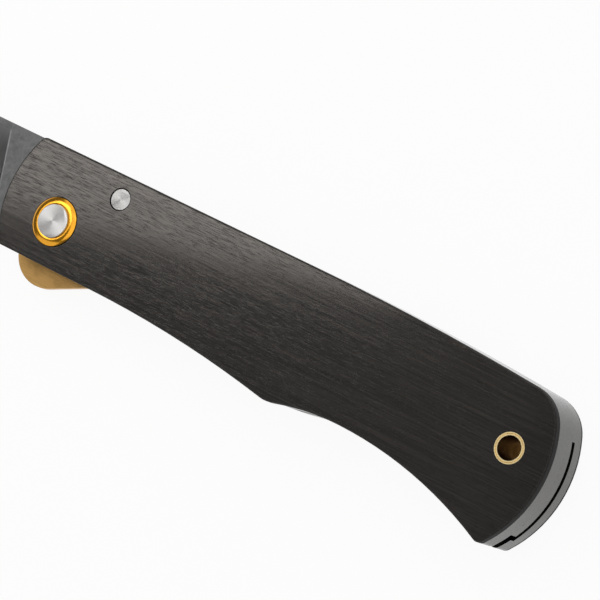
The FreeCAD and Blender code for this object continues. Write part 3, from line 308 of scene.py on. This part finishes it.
def ebony(name, colours, sizes, shine, roughness, depth):
    """Near-black oiled wood with fine streaks and open pores along the handle; depth darkens it, as painted
    shade.
    """
    long, thin = sizes.grain_length, sizes.grain_width
    finish = Finish(name, 0.0)
    finish.shader.inputs["Specular Tint"].default_value = (*colours.sheen, 1.0)
    streaks = finish.noise((long, thin, thin), detail=6, rough=0.65, twist=0.08)
    bands = finish.noise((long * 2, thin * 9, thin * 9), detail=3, twist=0.2)
    pores = finish.noise((long / 7, thin / 2.4, thin / 2.4), detail=3, rough=0.6)
    hairs = finish.noise((long * 0.8, thin / 2.2, thin / 2.2), detail=1, twist=0.1)
    grain = finish.math("MULTIPLY", finish.ranged(streaks, 0.36, 0.68),
                        finish.ranged(bands, 0.3, 0.68, 0.35, 1.0))
    darkest = tinted(colours.wood_dark, depth / 2)
    wood = finish.mixed(grain, tinted(colours.wood_dark, depth), tinted(colours.wood_light, depth))
    wood = finish.stained(wood, pores, 0.55, 0.70, 0.75, darkest)
    along = finish.axis("X")
    lines = finish.math("MULTIPLY", finish.ranged(hairs, 0.74, 0.80, 0.0, 0.6),
                        finish.ranged(along, sizes.hair_start, sizes.hair_full))
    wood = finish.mixed(lines, wood, colours.wood_hair)
    finish.coloured(finish.stained(wood, along, sizes.butt_start, sizes.butt_full, 0.4, darkest))
    finish.roughened(finish.ranged(streaks, 0.3, 0.7, roughness - 0.03, roughness + 0.03))
    gloss = finish.math("MULTIPLY", finish.ranged(streaks, 0.35, 0.65, shine * 0.74, shine * 1.16),
                        finish.ranged(pores, 0.42, 0.68, 1.08, 0.62))
    finish.feed(finish.shader.inputs["Specular IOR Level"], gloss)
    finish.bumped(streaks, thin * 0.003)
    finish.bumped(finish.ranged(pores, 0.55, 0.70, 1.0, 0.0), thin * 0.012)
    return finish.material


def blasted_steel(colours, sizes):
    """Satin grey steel, pitted evenly by blasting and worn smooth along the spine."""
    grit, cloud = sizes.blast_grit, sizes.blast_cloud
    finish = Finish("blasted_steel", 1.0)
    pits = finish.noise((grit, grit, grit), detail=2)
    clouds = finish.noise((cloud * 1.5, cloud, cloud), detail=4)
    shade = finish.toned(pits, 0.35, 0.65, colours.slab, 0.72, 1.25)
    finish.coloured(finish.stained(shade, clouds, 0.35, 0.7, 0.35, tinted(colours.slab, 0.8)))
    worn = finish.ranged(finish.axis("Y"), sizes.spine_low, sizes.spine_high, 1.0, 0.45)
    finish.roughened(finish.math("MULTIPLY", finish.ranged(clouds, 0.3, 0.7, 0.18, 0.27), worn))
    finish.bumped(pits, grit * 0.10)
    return finish.material


def tumbled_steel(colours, sizes):
    """Steel tumbled with stones: short marks that lie every way."""
    mark = sizes.tumble_mark
    finish = Finish("tumbled_steel", 1.0)
    blotches = finish.noise((mark, mark, mark), detail=5, rough=0.65)
    marks = finish.noise((mark * 2, mark / 14, mark), detail=2, turn=0.5)
    for turn in (1.35, 2.5):
        marks = finish.math("MAXIMUM", marks, finish.noise((mark * 2, mark / 14, mark), detail=2, turn=turn))
    shade = finish.toned(blotches, 0.35, 0.68, colours.blade_flat, 0.72, 1.2)
    finish.coloured(finish.stained(shade, marks, 0.62, 0.78, 0.5, tinted(colours.blade_flat, 1.6)))
    finish.roughened(finish.ranged(blotches, 0.3, 0.7, 0.36, 0.5))
    finish.bumped(marks, mark * 0.004)
    return finish.material


def satin_grind(colours, sizes, shoulder):
    """The hollow grind's satin lines, from spine to edge, darker away from its shoulder."""
    line, stroke = sizes.brush_line, sizes.satin_stroke
    finish = Finish("satin_grind", 1.0)
    lines = finish.noise((line, stroke, stroke), detail=3)
    clouds = finish.noise((stroke / 3, stroke, stroke), detail=2)
    shade = finish.toned(lines, 0.3, 0.7, colours.blade_grind, 0.8, 1.2)
    fade = finish.ranged(finish.axis("Y"), shoulder - sizes.grind_fade, shoulder)
    finish.coloured(finish.mixed(fade, shade, colours.blade_flat))
    finish.roughened(finish.ranged(clouds, 0.3, 0.7, 0.27, 0.38))
    finish.bumped(lines, line * 0.08)
    return finish.material


def brushed_brass(colours, sizes):
    """The lock leaf's dull brass with faint lines along it."""
    line, spot = sizes.brush_line, sizes.tarnish
    finish = Finish("brushed_brass", 1.0)
    lines = finish.noise((sizes.leaf_stroke, line, line), detail=3)
    tarnish = finish.noise((spot * 1.5, spot, spot), detail=4)
    shade = finish.toned(lines, 0.3, 0.7, colours.leaf, 0.85, 1.12)
    finish.coloured(finish.stained(shade, tarnish, 0.5, 0.75, 0.5, tinted(colours.leaf, 0.7)))
    finish.roughened(finish.ranged(tarnish, 0.3, 0.7, 0.40, 0.52))
    finish.bumped(lines, line * 0.05)
    return finish.material


def polished_gold(colours, sizes, centre):
    """Bright lacquered gold with the faintest turning marks."""
    finish = Finish("polished_gold", 1.0)
    marks = finish.rings(sizes.turning_pitch, centre)
    smears = finish.noise((sizes.smear,) * 3, detail=4)
    finish.coloured(finish.stained(colours.gold, smears, 0.35, 0.7, 0.3, tinted(colours.gold, 0.85)))
    finish.roughened(finish.ranged(smears, 0.3, 0.7, 0.14, 0.22))
    finish.shader.inputs["Coat Weight"].default_value = 0.5
    finish.shader.inputs["Coat Roughness"].default_value = 0.1
    finish.bumped(marks, sizes.turning_pitch * 0.002)
    return finish.material


def turned_steel(name, shade, sizes, centre):
    """Steel faced on a lathe, which shines in a fan from its middle."""
    finish = Finish(name, 1.0)
    marks = finish.rings(sizes.turning_pitch, centre)
    finish.coloured(finish.mixed(marks, tinted(shade, 0.86), tinted(shade, 1.1)))
    finish.roughened(finish.ranged(marks, 0.0, 1.0, 0.30, 0.38))
    finish.shader.inputs["Anisotropic"].default_value = 0.8
    tangent = finish.add("ShaderNodeTangent", {"direction_type": "RADIAL", "axis": "Z"})
    finish.feed(finish.shader.inputs["Tangent"], tangent.outputs["Tangent"])
    finish.bumped(marks, sizes.turning_pitch * 0.01)
    return finish.material


def tube_brass(colours, sizes):
    """Pale brass with draw lines and faint turning marks."""
    line = sizes.draw_line
    finish = Finish("tube_brass", 1.0)
    marks = finish.rings(sizes.turning_pitch, (0, 0, 0))
    drawn = finish.noise((line, line, sizes.draw_length), detail=3)
    shade = finish.mixed(marks, tinted(colours.tube, 0.92), tinted(colours.tube, 1.06))
    finish.coloured(finish.stained(shade, drawn, 0.4, 0.75, 0.4, tinted(colours.tube, 0.75)))
    finish.roughened(finish.ranged(drawn, 0.3, 0.7, 0.34, 0.46))
    finish.bumped(drawn, line * 0.02)
    return finish.material


def plain_metal(name, shade, sizes, roughness, line=None, glance=(1, 1, 1)):
    """Plain metal with machining marks, light stains and a tint at glancing angles."""
    line, stain = line or sizes.brush_line, sizes.stain
    finish = Finish(name, 1.0)
    finish.shader.inputs["Specular Tint"].default_value = (*glance, 1.0)
    marks = finish.noise((line, line, line * 20), detail=3)
    stains = finish.noise((stain, stain, stain), detail=4)
    tone = finish.toned(marks, 0.3, 0.7, shade, 0.85, 1.15)
    finish.coloured(finish.stained(tone, stains, 0.45, 0.75, 0.5, tinted(shade, 0.65)))
    finish.roughened(finish.ranged(stains, 0.3, 0.7, roughness - 0.06, roughness + 0.08))
    finish.bumped(marks, line * 0.04)
    return finish.material


def merged_mesh(node):
    """A copy of a CAD node's mesh with its loose triangles joined."""
    source = frame["nodes"][node].data
    work = bmesh.new()
    for vertex in source.vertices:
        work.verts.new(vertex.co)
    work.verts.ensure_lookup_table()
    for polygon in source.polygons:
        work.faces.new([work.verts[index] for index in polygon.vertices])
    bmesh.ops.remove_doubles(work, verts=work.verts[:], dist=MERGE_DISTANCE)
    return work


def shaded(work, angle):
    """Shades faces smooth, with sharp edges where they turn by more than the angle."""
    for face in work.faces:
        face.smooth = True
    for edge in work.edges:
        edge.smooth = len(edge.link_faces) == 2 and edge.calc_face_angle(math.pi) < angle


def settled(piece):
    """Turns a piece and its modifiers into a plain mesh."""
    evaluated = piece.evaluated_get(bpy.context.evaluated_depsgraph_get())
    mesh = bpy.data.meshes.new_from_object(evaluated)
    piece.modifiers.clear()
    piece.data = mesh


def stand_in(name, work, materials, node):
    """Makes an object of a mesh, with even normals, and sets it in a CAD node's place."""
    sizes = bpy.context.scene.knife_sizes
    shaded(work, sizes.soft_angle)
    mesh = bpy.data.meshes.new(name)
    work.to_mesh(mesh)
    work.free()
    for material in materials:
        mesh.materials.append(material)
    piece = bpy.data.objects.new(name, mesh)
    bpy.context.scene.collection.objects.link(piece)
    even = piece.modifiers.new("Even normals", "WEIGHTED_NORMAL")
    even.keep_sharp = True
    settled(piece)
    seat(piece, node)
    return piece


def seat(piece, node):
    """A piece rides with its node's body and is shown for it."""
    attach(piece, frame["nodes"][node]["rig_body"])
    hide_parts(node)


def painted(work, choose):
    """Gives each face the number of the material that choose picks for it."""
    for face in work.faces:
        face.material_index = choose(face)


def dressed(node, materials, paint=None):
    """A smooth copy of a CAD node; paint shares its faces out to the materials."""
    work = merged_mesh(node)
    if paint:
        paint(work)
    return stand_in(node + "_dressed", work, materials, node)


def outside_faces(work, level, angle):
    """Faces that touch a level, and those that go on from them without a sharp edge."""
    touching = {vertex for vertex in work.verts if abs(vertex.co.z - level) < MERGE_DISTANCE}
    shown = [face for face in work.faces if touching.intersection(face.verts)]
    found = set(shown)
    for face in shown:
        for edge in face.edges:
            if edge.calc_face_angle(math.pi) < angle:
                fresh = [other for other in edge.link_faces if other not in found]
                found.update(fresh)
                shown.extend(fresh)
    return found


def islands(node):
    """Separate screws of a node, as (x, y, low, high, whether the head is at the low end)."""
    work = merged_mesh(node)
    left = set(work.verts)
    found = []
    while left:
        solid = [left.pop()]
        for vertex in solid:
            for edge in vertex.link_edges:
                other = edge.other_vert(vertex)
                if other in left:
                    left.discard(other)
                    solid.append(other)
        points = [vertex.co.copy() for vertex in solid]
        low = Vector([min(point[axis] for point in points) for axis in range(3)])
        high = Vector([max(point[axis] for point in points) for axis in range(3)])
        wide = max(points, key=lambda point: point.x)
        found.append((*((low + high) / 2).xy, low.z, high.z, wide.z - low.z < high.z - wide.z))
    work.free()
    return sorted(found)


def lathe(profile, centre, steps):
    """Turns a closed profile of (radius, height) points round an axis along Z."""
    work = bmesh.new()
    rounds = []
    for step in range(steps):
        across, up = math.cos(TURN * step / steps), math.sin(TURN * step / steps)
        spots = [(centre[0] + radius * across, centre[1] + radius * up, height) for radius, height in profile]
        rounds.append([work.verts.new(spot) for spot in spots])
    for step, here in enumerate(rounds):
        there = rounds[(step + 1) % steps]
        for index in range(len(profile)):
            after = (index + 1) % len(profile)
            work.faces.new((here[index], there[index], there[after], here[after]))
    bmesh.ops.recalc_face_normals(work, faces=work.faces[:])
    return work


def crown(start, end, rise, steps):
    """Points of an arc between two points that stands up from its chord by a rise."""
    start, end = Vector(start), Vector(end)
    chord = end - start
    out = Vector((chord.y, -chord.x)).normalized()
    radius = (chord.length ** 2 / 4 + rise ** 2) / (2 * rise)
    middle = (start + end) / 2 + out * (rise - radius)
    half = math.asin(chord.length / 2 / radius)
    points = []
    for step in range(steps + 1):
        angle = half - 2 * half * step / steps
        rim = middle + out * radius * math.cos(angle) - chord.normalized() * radius * math.sin(angle)
        points.append(tuple(rim))
    return points


def box_middle(node):
    low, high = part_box(node)
    return (low + high) / 2


class KNIFE_OT_grip_plates(bpy.types.Operator):
    """Dress the two ebony grip plates"""

    bl_idname = "knife.grip_plates"
    bl_label = "Grip plates"

    def execute(self, context):
        colours, sizes = context.scene.knife_colours, context.scene.knife_sizes
        woods = [ebony("ebony_face", colours, sizes, shine=0.75, roughness=0.10, depth=1.0),
                 ebony("ebony_round", colours, sizes, shine=0.3, roughness=0.45, depth=1.0),
                 # The walls' ebony is darkened to 0.45 of its colour: painted shade.
                 ebony("ebony_wall", colours, sizes, shine=0.1, roughness=0.55, depth=0.45)]
        for node in ("front_scale", "rear_scale"):
            dressed(node, woods, self.paint)
        return {"FINISHED"}

    def paint(self, work):
        """Sets the flat faces, the rounded edges and the walls apart; the walls take the painted shade."""
        painted(work, lambda face: sum(abs(face.normal.z) < limit for limit in (LEVEL_NORMAL, STEEP_NORMAL)))


class KNIFE_OT_slabs(bpy.types.Operator):
    """Dress the steel slabs and the spacer between them"""

    bl_idname = "knife.slabs"
    bl_label = "Slabs and spacer"

    def execute(self, context):
        colours, sizes = context.scene.knife_colours, context.scene.knife_sizes
        # The second metal, on the inner faces, is painted shade.
        metals = [blasted_steel(colours, sizes),
                  plain_metal("inner_steel", colours.inner, sizes, roughness=0.6, line=sizes.blast_grit)]
        for node, outer in (("front_frame_plate", 1), ("rear_frame_plate", 0)):
            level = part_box(node)[outer].z
            dressed(node, metals, lambda work: self.paint_slab(work, level, sizes.soft_angle))
        dressed("back_spacer", metals, self.paint_spacer)
        return {"FINISHED"}

    def paint_slab(self, work, level, angle):
        """Sets the inner faces apart from those that go on from the outside; the inner faces get the painted
        shade.
        """
        shown = outside_faces(work, level, angle)
        painted(work, lambda face: int(face not in shown))

    def paint_spacer(self, work):
        """Sets the faces that lie on the slabs apart from the walls; those faces get the painted shade."""
        painted(work, lambda face: int(abs(face.normal.z) > STEEP_NORMAL))


class KNIFE_OT_blade(bpy.types.Operator):
    """Dress the blade: tumbled flats and a satin hollow grind"""

    bl_idname = "knife.blade"
    bl_label = "Blade"

    # Places of the finishes in the list of the blade's steels
    flat, grind, plunge = range(3)

    def execute(self, context):
        colours, sizes = context.scene.knife_colours, context.scene.knife_sizes
        low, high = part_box("blade")
        middle, half = (low.z + high.z) / 2, (high.z - low.z) / 2
        shoulder = high.y - sizes.grind_shoulder
        # The third steel, the flats' made lighter, is a painted highlight along the plunge.
        steels = [tumbled_steel(colours, sizes), satin_grind(colours, sizes, shoulder),
                  plain_metal("plunge_edge", tinted(colours.blade_flat, 1.6), sizes, roughness=0.35)]

        def choose(face):
            sunk = half - abs(face.calc_center_median().z - middle)
            ground = abs(face.normal.z) > STEEP_NORMAL and sunk > sizes.grind_start
            return self.grind if ground else self.flat

        def paint(work):
            painted(work, choose)
            self.break_plunge(work, sizes, shoulder, middle)

        dressed("blade", steels, paint)
        return {"FINISHED"}

    def break_plunge(self, work, sizes, shoulder, middle):
        """Breaks the flats' edges at the plunge, where the hollow grind ends, and gives the strip along it
        the painted highlight.
        """
        lean = math.cos(sizes.plunge_lean)
        walls = [face for face in work.faces if face.normal.x < -lean and abs(face.normal.z) < UPRIGHT_NORMAL]
        wall = max(walls, key=lambda face: max(vertex.co.y for vertex in face.verts))
        out, foot = wall.normal.copy(), wall.verts[0].co.copy()
        line = foot - out * sizes.plunge_line
        for point, way in ((line, out), (Vector((0, shoulder, 0)), Vector((0, 1, 0)))):
            flats = self.flat_faces(work)
            parts = {part: None for face in flats for part in (face, *face.edges, *face.verts)}
            bmesh.ops.bisect_plane(work, geom=list(parts), dist=MERGE_DISTANCE, plane_co=point, plane_no=way)
        for face in self.flat_faces(work):
            centre = face.calc_center_median()
            if centre.y < shoulder and (centre - line).dot(out) > 0:
                face.material_index = self.plunge
        edge = {vertex for face in work.faces if face.material_index == self.plunge for vertex in face.verts}
        bottom = min(vertex.co.y for vertex in edge)
        for vertex in edge:
            if abs((vertex.co - foot).dot(out)) < MERGE_DISTANCE * 10:
                drop = sizes.plunge_drop * (shoulder - vertex.co.y) / (shoulder - bottom)
                vertex.co.z -= math.copysign(drop, vertex.co.z - middle)

    def flat_faces(self, work):
        level = [face for face in work.faces if abs(face.normal.z) > LEVEL_NORMAL]
        return [face for face in level if face.material_index == self.flat]


class KNIFE_OT_lock(bpy.types.Operator):
    """Dress the lock leaf and its detent ball"""

    bl_idname = "knife.lock"
    bl_label = "Lock leaf"

    def execute(self, context):
        colours, sizes = context.scene.knife_colours, context.scene.knife_sizes
        dressed("lock_leaf", [brushed_brass(colours, sizes)])
        ball = plain_metal("ball_steel", colours.steel, sizes, roughness=0.2)
        dressed("detent_ball", [ball])
        return {"FINISHED"}


class KNIFE_OT_pivot(bpy.types.Operator):
    """Make the gold pivot rings and dress the pivot's barrel and screw"""

    bl_idname = "knife.pivot"
    bl_label = "Pivot"

    def execute(self, context):
        colours, sizes = context.scene.knife_colours, context.scene.knife_sizes
        axis = box_middle("front_pivot_ring")
        gold = polished_gold(colours, sizes, (axis.x, axis.y, 0))
        low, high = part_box("front_pivot_ring")
        inside, outside, edge = sizes.ring_inside, (high.x - low.x) / 2, sizes.ring_break
        arc = crown((outside, high.z - sizes.ring_rim), (inside, high.z), sizes.ring_crown, sizes.crown_steps)
        lift = max(point[1] for point in arc) - high.z
        arc = [(radius, height - lift) for radius, height in arc]
        profile = [(inside, low.z), (outside, low.z), *arc]
        turned = lathe(profile, axis, sizes.ring_steps)
        stand_in("front_pivot_ring_turned", turned, [gold], "front_pivot_ring")
        low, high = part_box("rear_pivot_ring")
        profile = [(inside, high.z), (outside, high.z), (outside, low.z + edge), (outside - edge, low.z),
                   (inside + edge, low.z), (inside, low.z + edge)]
        turned = lathe(profile, axis, sizes.ring_steps)
        stand_in("rear_pivot_ring_turned", turned, [gold], "rear_pivot_ring")
        steel = turned_steel("turned_steel_pivot", colours.steel, sizes, (axis.x, axis.y, 0))
        dressed("pivot_barrel", [steel])
        dressed("pivot_screw", [steel])
        return {"FINISHED"}


class KNIFE_OT_stop_pin(bpy.types.Operator):
    """Dress the stop pin"""

    bl_idname = "knife.stop_pin"
    bl_label = "Stop pin"

    def execute(self, context):
        colours, sizes = context.scene.knife_colours, context.scene.knife_sizes
        axis = box_middle("stop_pin")
        # The stop pin's darker steel is painted shade.
        shade = tinted(colours.steel, colours.pin_painted_shade)
        steel = turned_steel("turned_steel_stop_pin", shade, sizes, (axis.x, axis.y, 0))
        dressed("stop_pin", [steel])
        return {"FINISHED"}


class KNIFE_OT_lanyard_tube(bpy.types.Operator):
    """Make the brass lanyard tube, with a fine groove round each end"""

    bl_idname = "knife.lanyard_tube"
    bl_label = "Lanyard tube"

    def execute(self, context):
        colours, sizes = context.scene.knife_colours, context.scene.knife_sizes
        # The bore's dark metal is painted shade.
        brasses = [tube_brass(colours, sizes),
                   plain_metal("tube_bore", colours.bore_painted_shade, sizes, roughness=0.42, glance=colours.bore_glance)]
        low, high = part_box("lanyard_tube")
        axis = box_middle("lanyard_tube")
        inside, outside, groove = sizes.tube_inside, (high.x - low.x) / 2, sizes.tube_groove
        near, far = groove - sizes.groove_half, groove + sizes.groove_half
        profile = [(inside, low.z), (near, low.z), (groove, low.z + sizes.groove_depth), (far, low.z),
                   (outside, low.z), (outside, high.z), (far, high.z), (groove, high.z - sizes.groove_depth),
                   (near, high.z), (inside, high.z)]
        work = lathe(profile, axis, sizes.ring_steps)

        def reach(face):
            return max((vertex.co - axis).xy.length for vertex in face.verts)

        painted(work, lambda face: int(reach(face) < inside + MERGE_DISTANCE))
        stand_in("lanyard_tube_turned", work, brasses, "lanyard_tube")
        return {"FINISHED"}


class KNIFE_OT_bearings(bpy.types.Operator):
    """Dress the washers, the bushing and the dowels"""

    bl_idname = "knife.bearings"
    bl_label = "Washers, bushing and dowels"

    def execute(self, context):
        colours, sizes = context.scene.knife_colours, context.scene.knife_sizes
        bronze = plain_metal("bronze", colours.bronze, sizes, roughness=0.32)
        for node in ("front_washer", "rear_washer", "pivot_bushing"):
            dressed(node, [bronze])
        steel = plain_metal("dowel_steel", colours.steel, sizes, roughness=0.26)
        dressed("frame_dowels", [steel])
        return {"FINISHED"}


def screw_tree():
    """Nodes that set a flat-head screw with a thread and a six-sided socket on every point."""
    tree = bpy.data.node_groups.new("Flat-head screws", "GeometryNodeTree")
    face = tree.interface
    face.new_socket("Geometry", in_out="OUTPUT", socket_type="NodeSocketGeometry")
    face.new_socket("Geometry", in_out="INPUT", socket_type="NodeSocketGeometry")
    for name in ("Head Radius", "Head Height", "Shank Radius", "Length", "Hex Width", "Thread Pitch",
                 "Thread Depth"):
        face.new_socket(name, in_out="INPUT", socket_type="NodeSocketFloat").subtype = "DISTANCE"
    face.new_socket("Tilt", in_out="INPUT", socket_type="NodeSocketVector").subtype = "EULER"
    face.new_socket("Finish", in_out="INPUT", socket_type="NodeSocketMaterial")
    given = tree.nodes.new("NodeGroupInput").outputs
    nodes = Tree(tree)
    add, reckon = nodes.add, nodes.math

    def lifted(mesh, height):
        move = add("ShaderNodeCombineXYZ", Z=height).outputs["Vector"]
        return add("GeometryNodeTransform", Geometry=mesh, Translation=move).outputs["Geometry"]

    core = reckon("SUBTRACT", given["Shank Radius"], given["Thread Depth"])
    head = add("GeometryNodeMeshCone", Vertices=36, Depth=given["Head Height"],
               **{"Radius Bottom": given["Head Radius"], "Radius Top": given["Shank Radius"]}).outputs["Mesh"]
    rod_length = reckon("SUBTRACT", given["Length"], given["Head Height"])
    rod = add("GeometryNodeMeshCylinder", Vertices=36, Radius=core, Depth=rod_length).outputs["Mesh"]
    rod = lifted(rod, reckon("MULTIPLY_ADD", rod_length, 0.5, given["Head Height"]))
    hex_radius = reckon("DIVIDE", given["Hex Width"], math.sqrt(3))
    key = add("GeometryNodeMeshCylinder", Vertices=6, Radius=hex_radius,
              Depth=given["Hex Width"]).outputs["Mesh"]
    cut = add("GeometryNodeMeshBoolean", {"operation": "DIFFERENCE"})
    tree.links.new(head, cut.inputs["Mesh 1"])
    tree.links.new(key, cut.inputs["Mesh 2"])
    thread_length = reckon("SUBTRACT", rod_length, reckon("MULTIPLY", given["Thread Pitch"], 2.0))
    turns = reckon("DIVIDE", thread_length, given["Thread Pitch"])
    coil = add("GeometryNodeCurveSpiral", Resolution=24, Rotations=turns, Height=thread_length,
               **{"Start Radius": core, "End Radius": core}).outputs["Curve"]
    crest = add("GeometryNodeCurvePrimitiveCircle", Resolution=4,
                Radius=given["Thread Depth"]).outputs["Curve"]
    thread = add("GeometryNodeCurveToMesh", Curve=coil,
                 **{"Profile Curve": crest, "Fill Caps": True}).outputs["Mesh"]
    thread = lifted(thread, reckon("ADD", given["Head Height"], given["Thread Pitch"]))
    whole = add("GeometryNodeJoinGeometry")
    for part in (cut.outputs["Mesh"], rod, thread):
        tree.links.new(part, whole.inputs["Geometry"])
    spread = add("GeometryNodeInstanceOnPoints", Points=given["Geometry"], Instance=whole.outputs["Geometry"],
                 Rotation=given["Tilt"]).outputs["Instances"]
    solid = add("GeometryNodeRealizeInstances", Geometry=spread).outputs["Geometry"]
    done = add("GeometryNodeSetMaterial", Geometry=solid, Material=given["Finish"]).outputs["Geometry"]
    tree.links.new(done, tree.nodes.new("NodeGroupOutput").inputs["Geometry"])
    return tree


class KNIFE_OT_screws(bpy.types.Operator):
    """Set threaded flat-head screws where the CAD screws are"""

    bl_idname = "knife.screws"
    bl_label = "Screws"

    # Radius of the head, radius of the shank and width of the socket
    screw_sizes = {"frame_screws": (0.0022, 0.00125, 0.0015), "front_scale_screws": (0.0018, 0.001, 0.0013),
                   "rear_scale_screws": (0.0018, 0.001, 0.0013), "lock_leaf_screws": (0.0012, 0.0008, 0.0009)}

    def execute(self, context):
        colours, sizes = context.scene.knife_colours, context.scene.knife_sizes
        steel = plain_metal("screw_steel", colours.screw, sizes, roughness=0.34)
        tree = screw_tree()
        sockets = {item.name: item.identifier for item in tree.interface.items_tree if item.in_out == "INPUT"}
        for node, (head, shank, socket) in self.screw_sizes.items():
            spots = islands(node)
            low, high, head_low = spots[0][2:]
            points = bpy.data.meshes.new(node + "_spots")
            level = low if head_low else high
            points.from_pydata([(spot[0], spot[1], level) for spot in spots], [], [])
            piece = bpy.data.objects.new(node + "_threaded", points)
            context.scene.collection.objects.link(piece)
            modifier = piece.modifiers.new("Screws", "NODES")
            modifier.node_group = tree
            values = {"Head Radius": head, "Head Height": head - shank, "Shank Radius": shank,
                      "Length": high - low, "Hex Width": socket, "Thread Pitch": sizes.thread_pitch,
                      "Thread Depth": sizes.thread_depth, "Tilt": (0.0 if head_low else math.pi, 0.0, 0.0),
                      "Finish": steel}
            for name, value in values.items():
                modifier[sockets[name]] = value
            settled(piece)
            work = bmesh.new()
            work.from_mesh(piece.data)
            shaded(work, sizes.soft_angle)
            work.to_mesh(piece.data)
            work.free()
            seat(piece, node)
        return {"FINISHED"}


def aim(thing, target):
    """Turns a camera or a light to a point."""
    thing.rotation_mode = "QUATERNION"
    thing.rotation_quaternion = (Vector(target) - thing.location).to_track_quat("-Z", "Y")


class KNIFE_OT_stage(bpy.types.Operator):
    """Set the floor, the soft lights and the camera"""

    bl_idname = "knife.stage"
    bl_label = "Stage"

    def execute(self, context):
        scene = context.scene
        stage = scene.knife_stage
        self.floor(scene, stage)
        self.sky(scene, stage)
        for side in SOFTBOXES:
            self.softbox(scene, stage, side)
        self.camera(scene, stage)
        scene.view_settings.view_transform = "Standard"
        return {"FINISHED"}

    def floor(self, scene, stage):
        half = stage.floor_size / 2
        mesh = bpy.data.meshes.new("floor")
        corners = [(-half, -half), (half, -half), (half, half), (-half, half)]
        points = [(x, y, height) for height in (0, stage.backdrop_height) for x, y in corners]
        count = len(corners)
        following = [(side + 1) % count for side in range(count)]
        walls = [(side, side + count, after + count, after) for side, after in enumerate(following)]
        mesh.from_pydata(points, [], [(0, 1, 2, 3), *walls])
        paper = Finish("floor_paper", 0.0)
        paper.roughened(0.9)
        fibre = paper.noise((stage.floor_fibre,) * 3, detail=3)
        paper.coloured(paper.mixed(fibre, tinted(stage.floor_colour, 0.99), stage.floor_colour))
        paper.shader.inputs["Specular IOR Level"].default_value = 0.0
        path = paper.add("ShaderNodeLightPath").outputs
        seen = paper.math("MAXIMUM", path["Is Camera Ray"], path["Is Glossy Ray"])
        seen = paper.math("MAXIMUM", seen, path["Is Transmission Ray"])
        glow = paper.add("ShaderNodeEmission", Color=(1, 1, 1, 1), Strength=1.0).outputs["Emission"]
        blend = paper.add("ShaderNodeMixShader", Fac=paper.math("MULTIPLY", seen, stage.floor_glow))
        paper.tree.links.new(paper.shader.outputs["BSDF"], blend.inputs[1])
        paper.tree.links.new(glow, blend.inputs[2])
        output = paper.tree.nodes["Material Output"]
        paper.tree.links.new(blend.outputs["Shader"], output.inputs["Surface"])
        mesh.materials.append(paper.material)
        floor = bpy.data.objects.new("floor", mesh)
        scene.collection.objects.link(floor)

    def sky(self, scene, stage):
        world = bpy.data.worlds.new("studio")
        world.use_nodes = True
        world.node_tree.nodes["Background"].inputs["Color"].default_value = (1, 1, 1, 1)
        world.node_tree.nodes["Background"].inputs["Strength"].default_value = stage.sky
        scene.world = world

    def softbox(self, scene, stage, side):
        """A square light that faces the knife; the left one faces straight down and is turned about Z."""
        light = bpy.data.lights.new(side + "_softbox", "AREA")
        light.shape = "SQUARE"
        light.size = getattr(stage, side + "_size")
        light.energy = getattr(stage, side + "_power")
        lamp = bpy.data.objects.new(side + "_softbox", light)
        lamp.location = getattr(stage, side + "_place")
        if side == "left":
            lamp.rotation_euler = (0, 0, stage.left_turn)
        else:
            aim(lamp, stage.camera_target)
        scene.collection.objects.link(lamp)

    def camera(self, scene, stage):
        lens = bpy.data.cameras.new("camera")
        lens.lens = stage.focal_length
        lens.clip_start = 0.01
        camera = bpy.data.objects.new("camera", lens)
        camera.location = stage.camera_place
        aim(camera, stage.camera_target)
        camera.rotation_quaternion = camera.rotation_quaternion @ Quaternion((0, 0, 1), -stage.camera_roll)
        scene.collection.objects.link(camera)
        scene.camera = camera


OPERATORS = (KNIFE_OT_grip_plates, KNIFE_OT_slabs, KNIFE_OT_blade, KNIFE_OT_lock, KNIFE_OT_pivot,
             KNIFE_OT_stop_pin, KNIFE_OT_lanyard_tube, KNIFE_OT_bearings, KNIFE_OT_screws, KNIFE_OT_stage)


class KNIFE_PT_sidebar(bpy.types.Panel):
    """Lists the knife's pieces and settings"""

    bl_idname = "KNIFE_PT_sidebar"
    bl_label = "Pocket knife"
    bl_space_type = "VIEW_3D"
    bl_region_type = "UI"
    bl_category = "Knife"

    def draw(self, context):
        for operator in OPERATORS:
            self.layout.operator(operator.bl_idname)
        for group in (context.scene.knife_colours, context.scene.knife_sizes, context.scene.knife_stage):
            box = self.layout.box()
            for name in group.__annotations__:
                box.prop(group, name)


GROUPS = {"knife_colours": KnifeColours, "knife_sizes": KnifeSizes, "knife_stage": KnifeStage}


def register():
    for kind in (*GROUPS.values(), *OPERATORS, KNIFE_PT_sidebar):
        bpy.utils.register_class(kind)
    for name, kind in GROUPS.items():
        setattr(bpy.types.Scene, name, PointerProperty(type=kind))


def unregister():
    for name in GROUPS:
        delattr(bpy.types.Scene, name)
    for kind in (KNIFE_PT_sidebar, *reversed(OPERATORS), *reversed(GROUPS.values())):
        bpy.utils.unregister_class(kind)


def main():
    register()
    bpy.ops.knife.grip_plates()
    bpy.ops.knife.slabs()
    bpy.ops.knife.blade()
    bpy.ops.knife.lock()
    bpy.ops.knife.pivot()
    bpy.ops.knife.stop_pin()
    bpy.ops.knife.lanyard_tube()
    bpy.ops.knife.bearings()
    bpy.ops.knife.screws()
    bpy.ops.knife.stage()


if __name__ == "__main__":
    main()
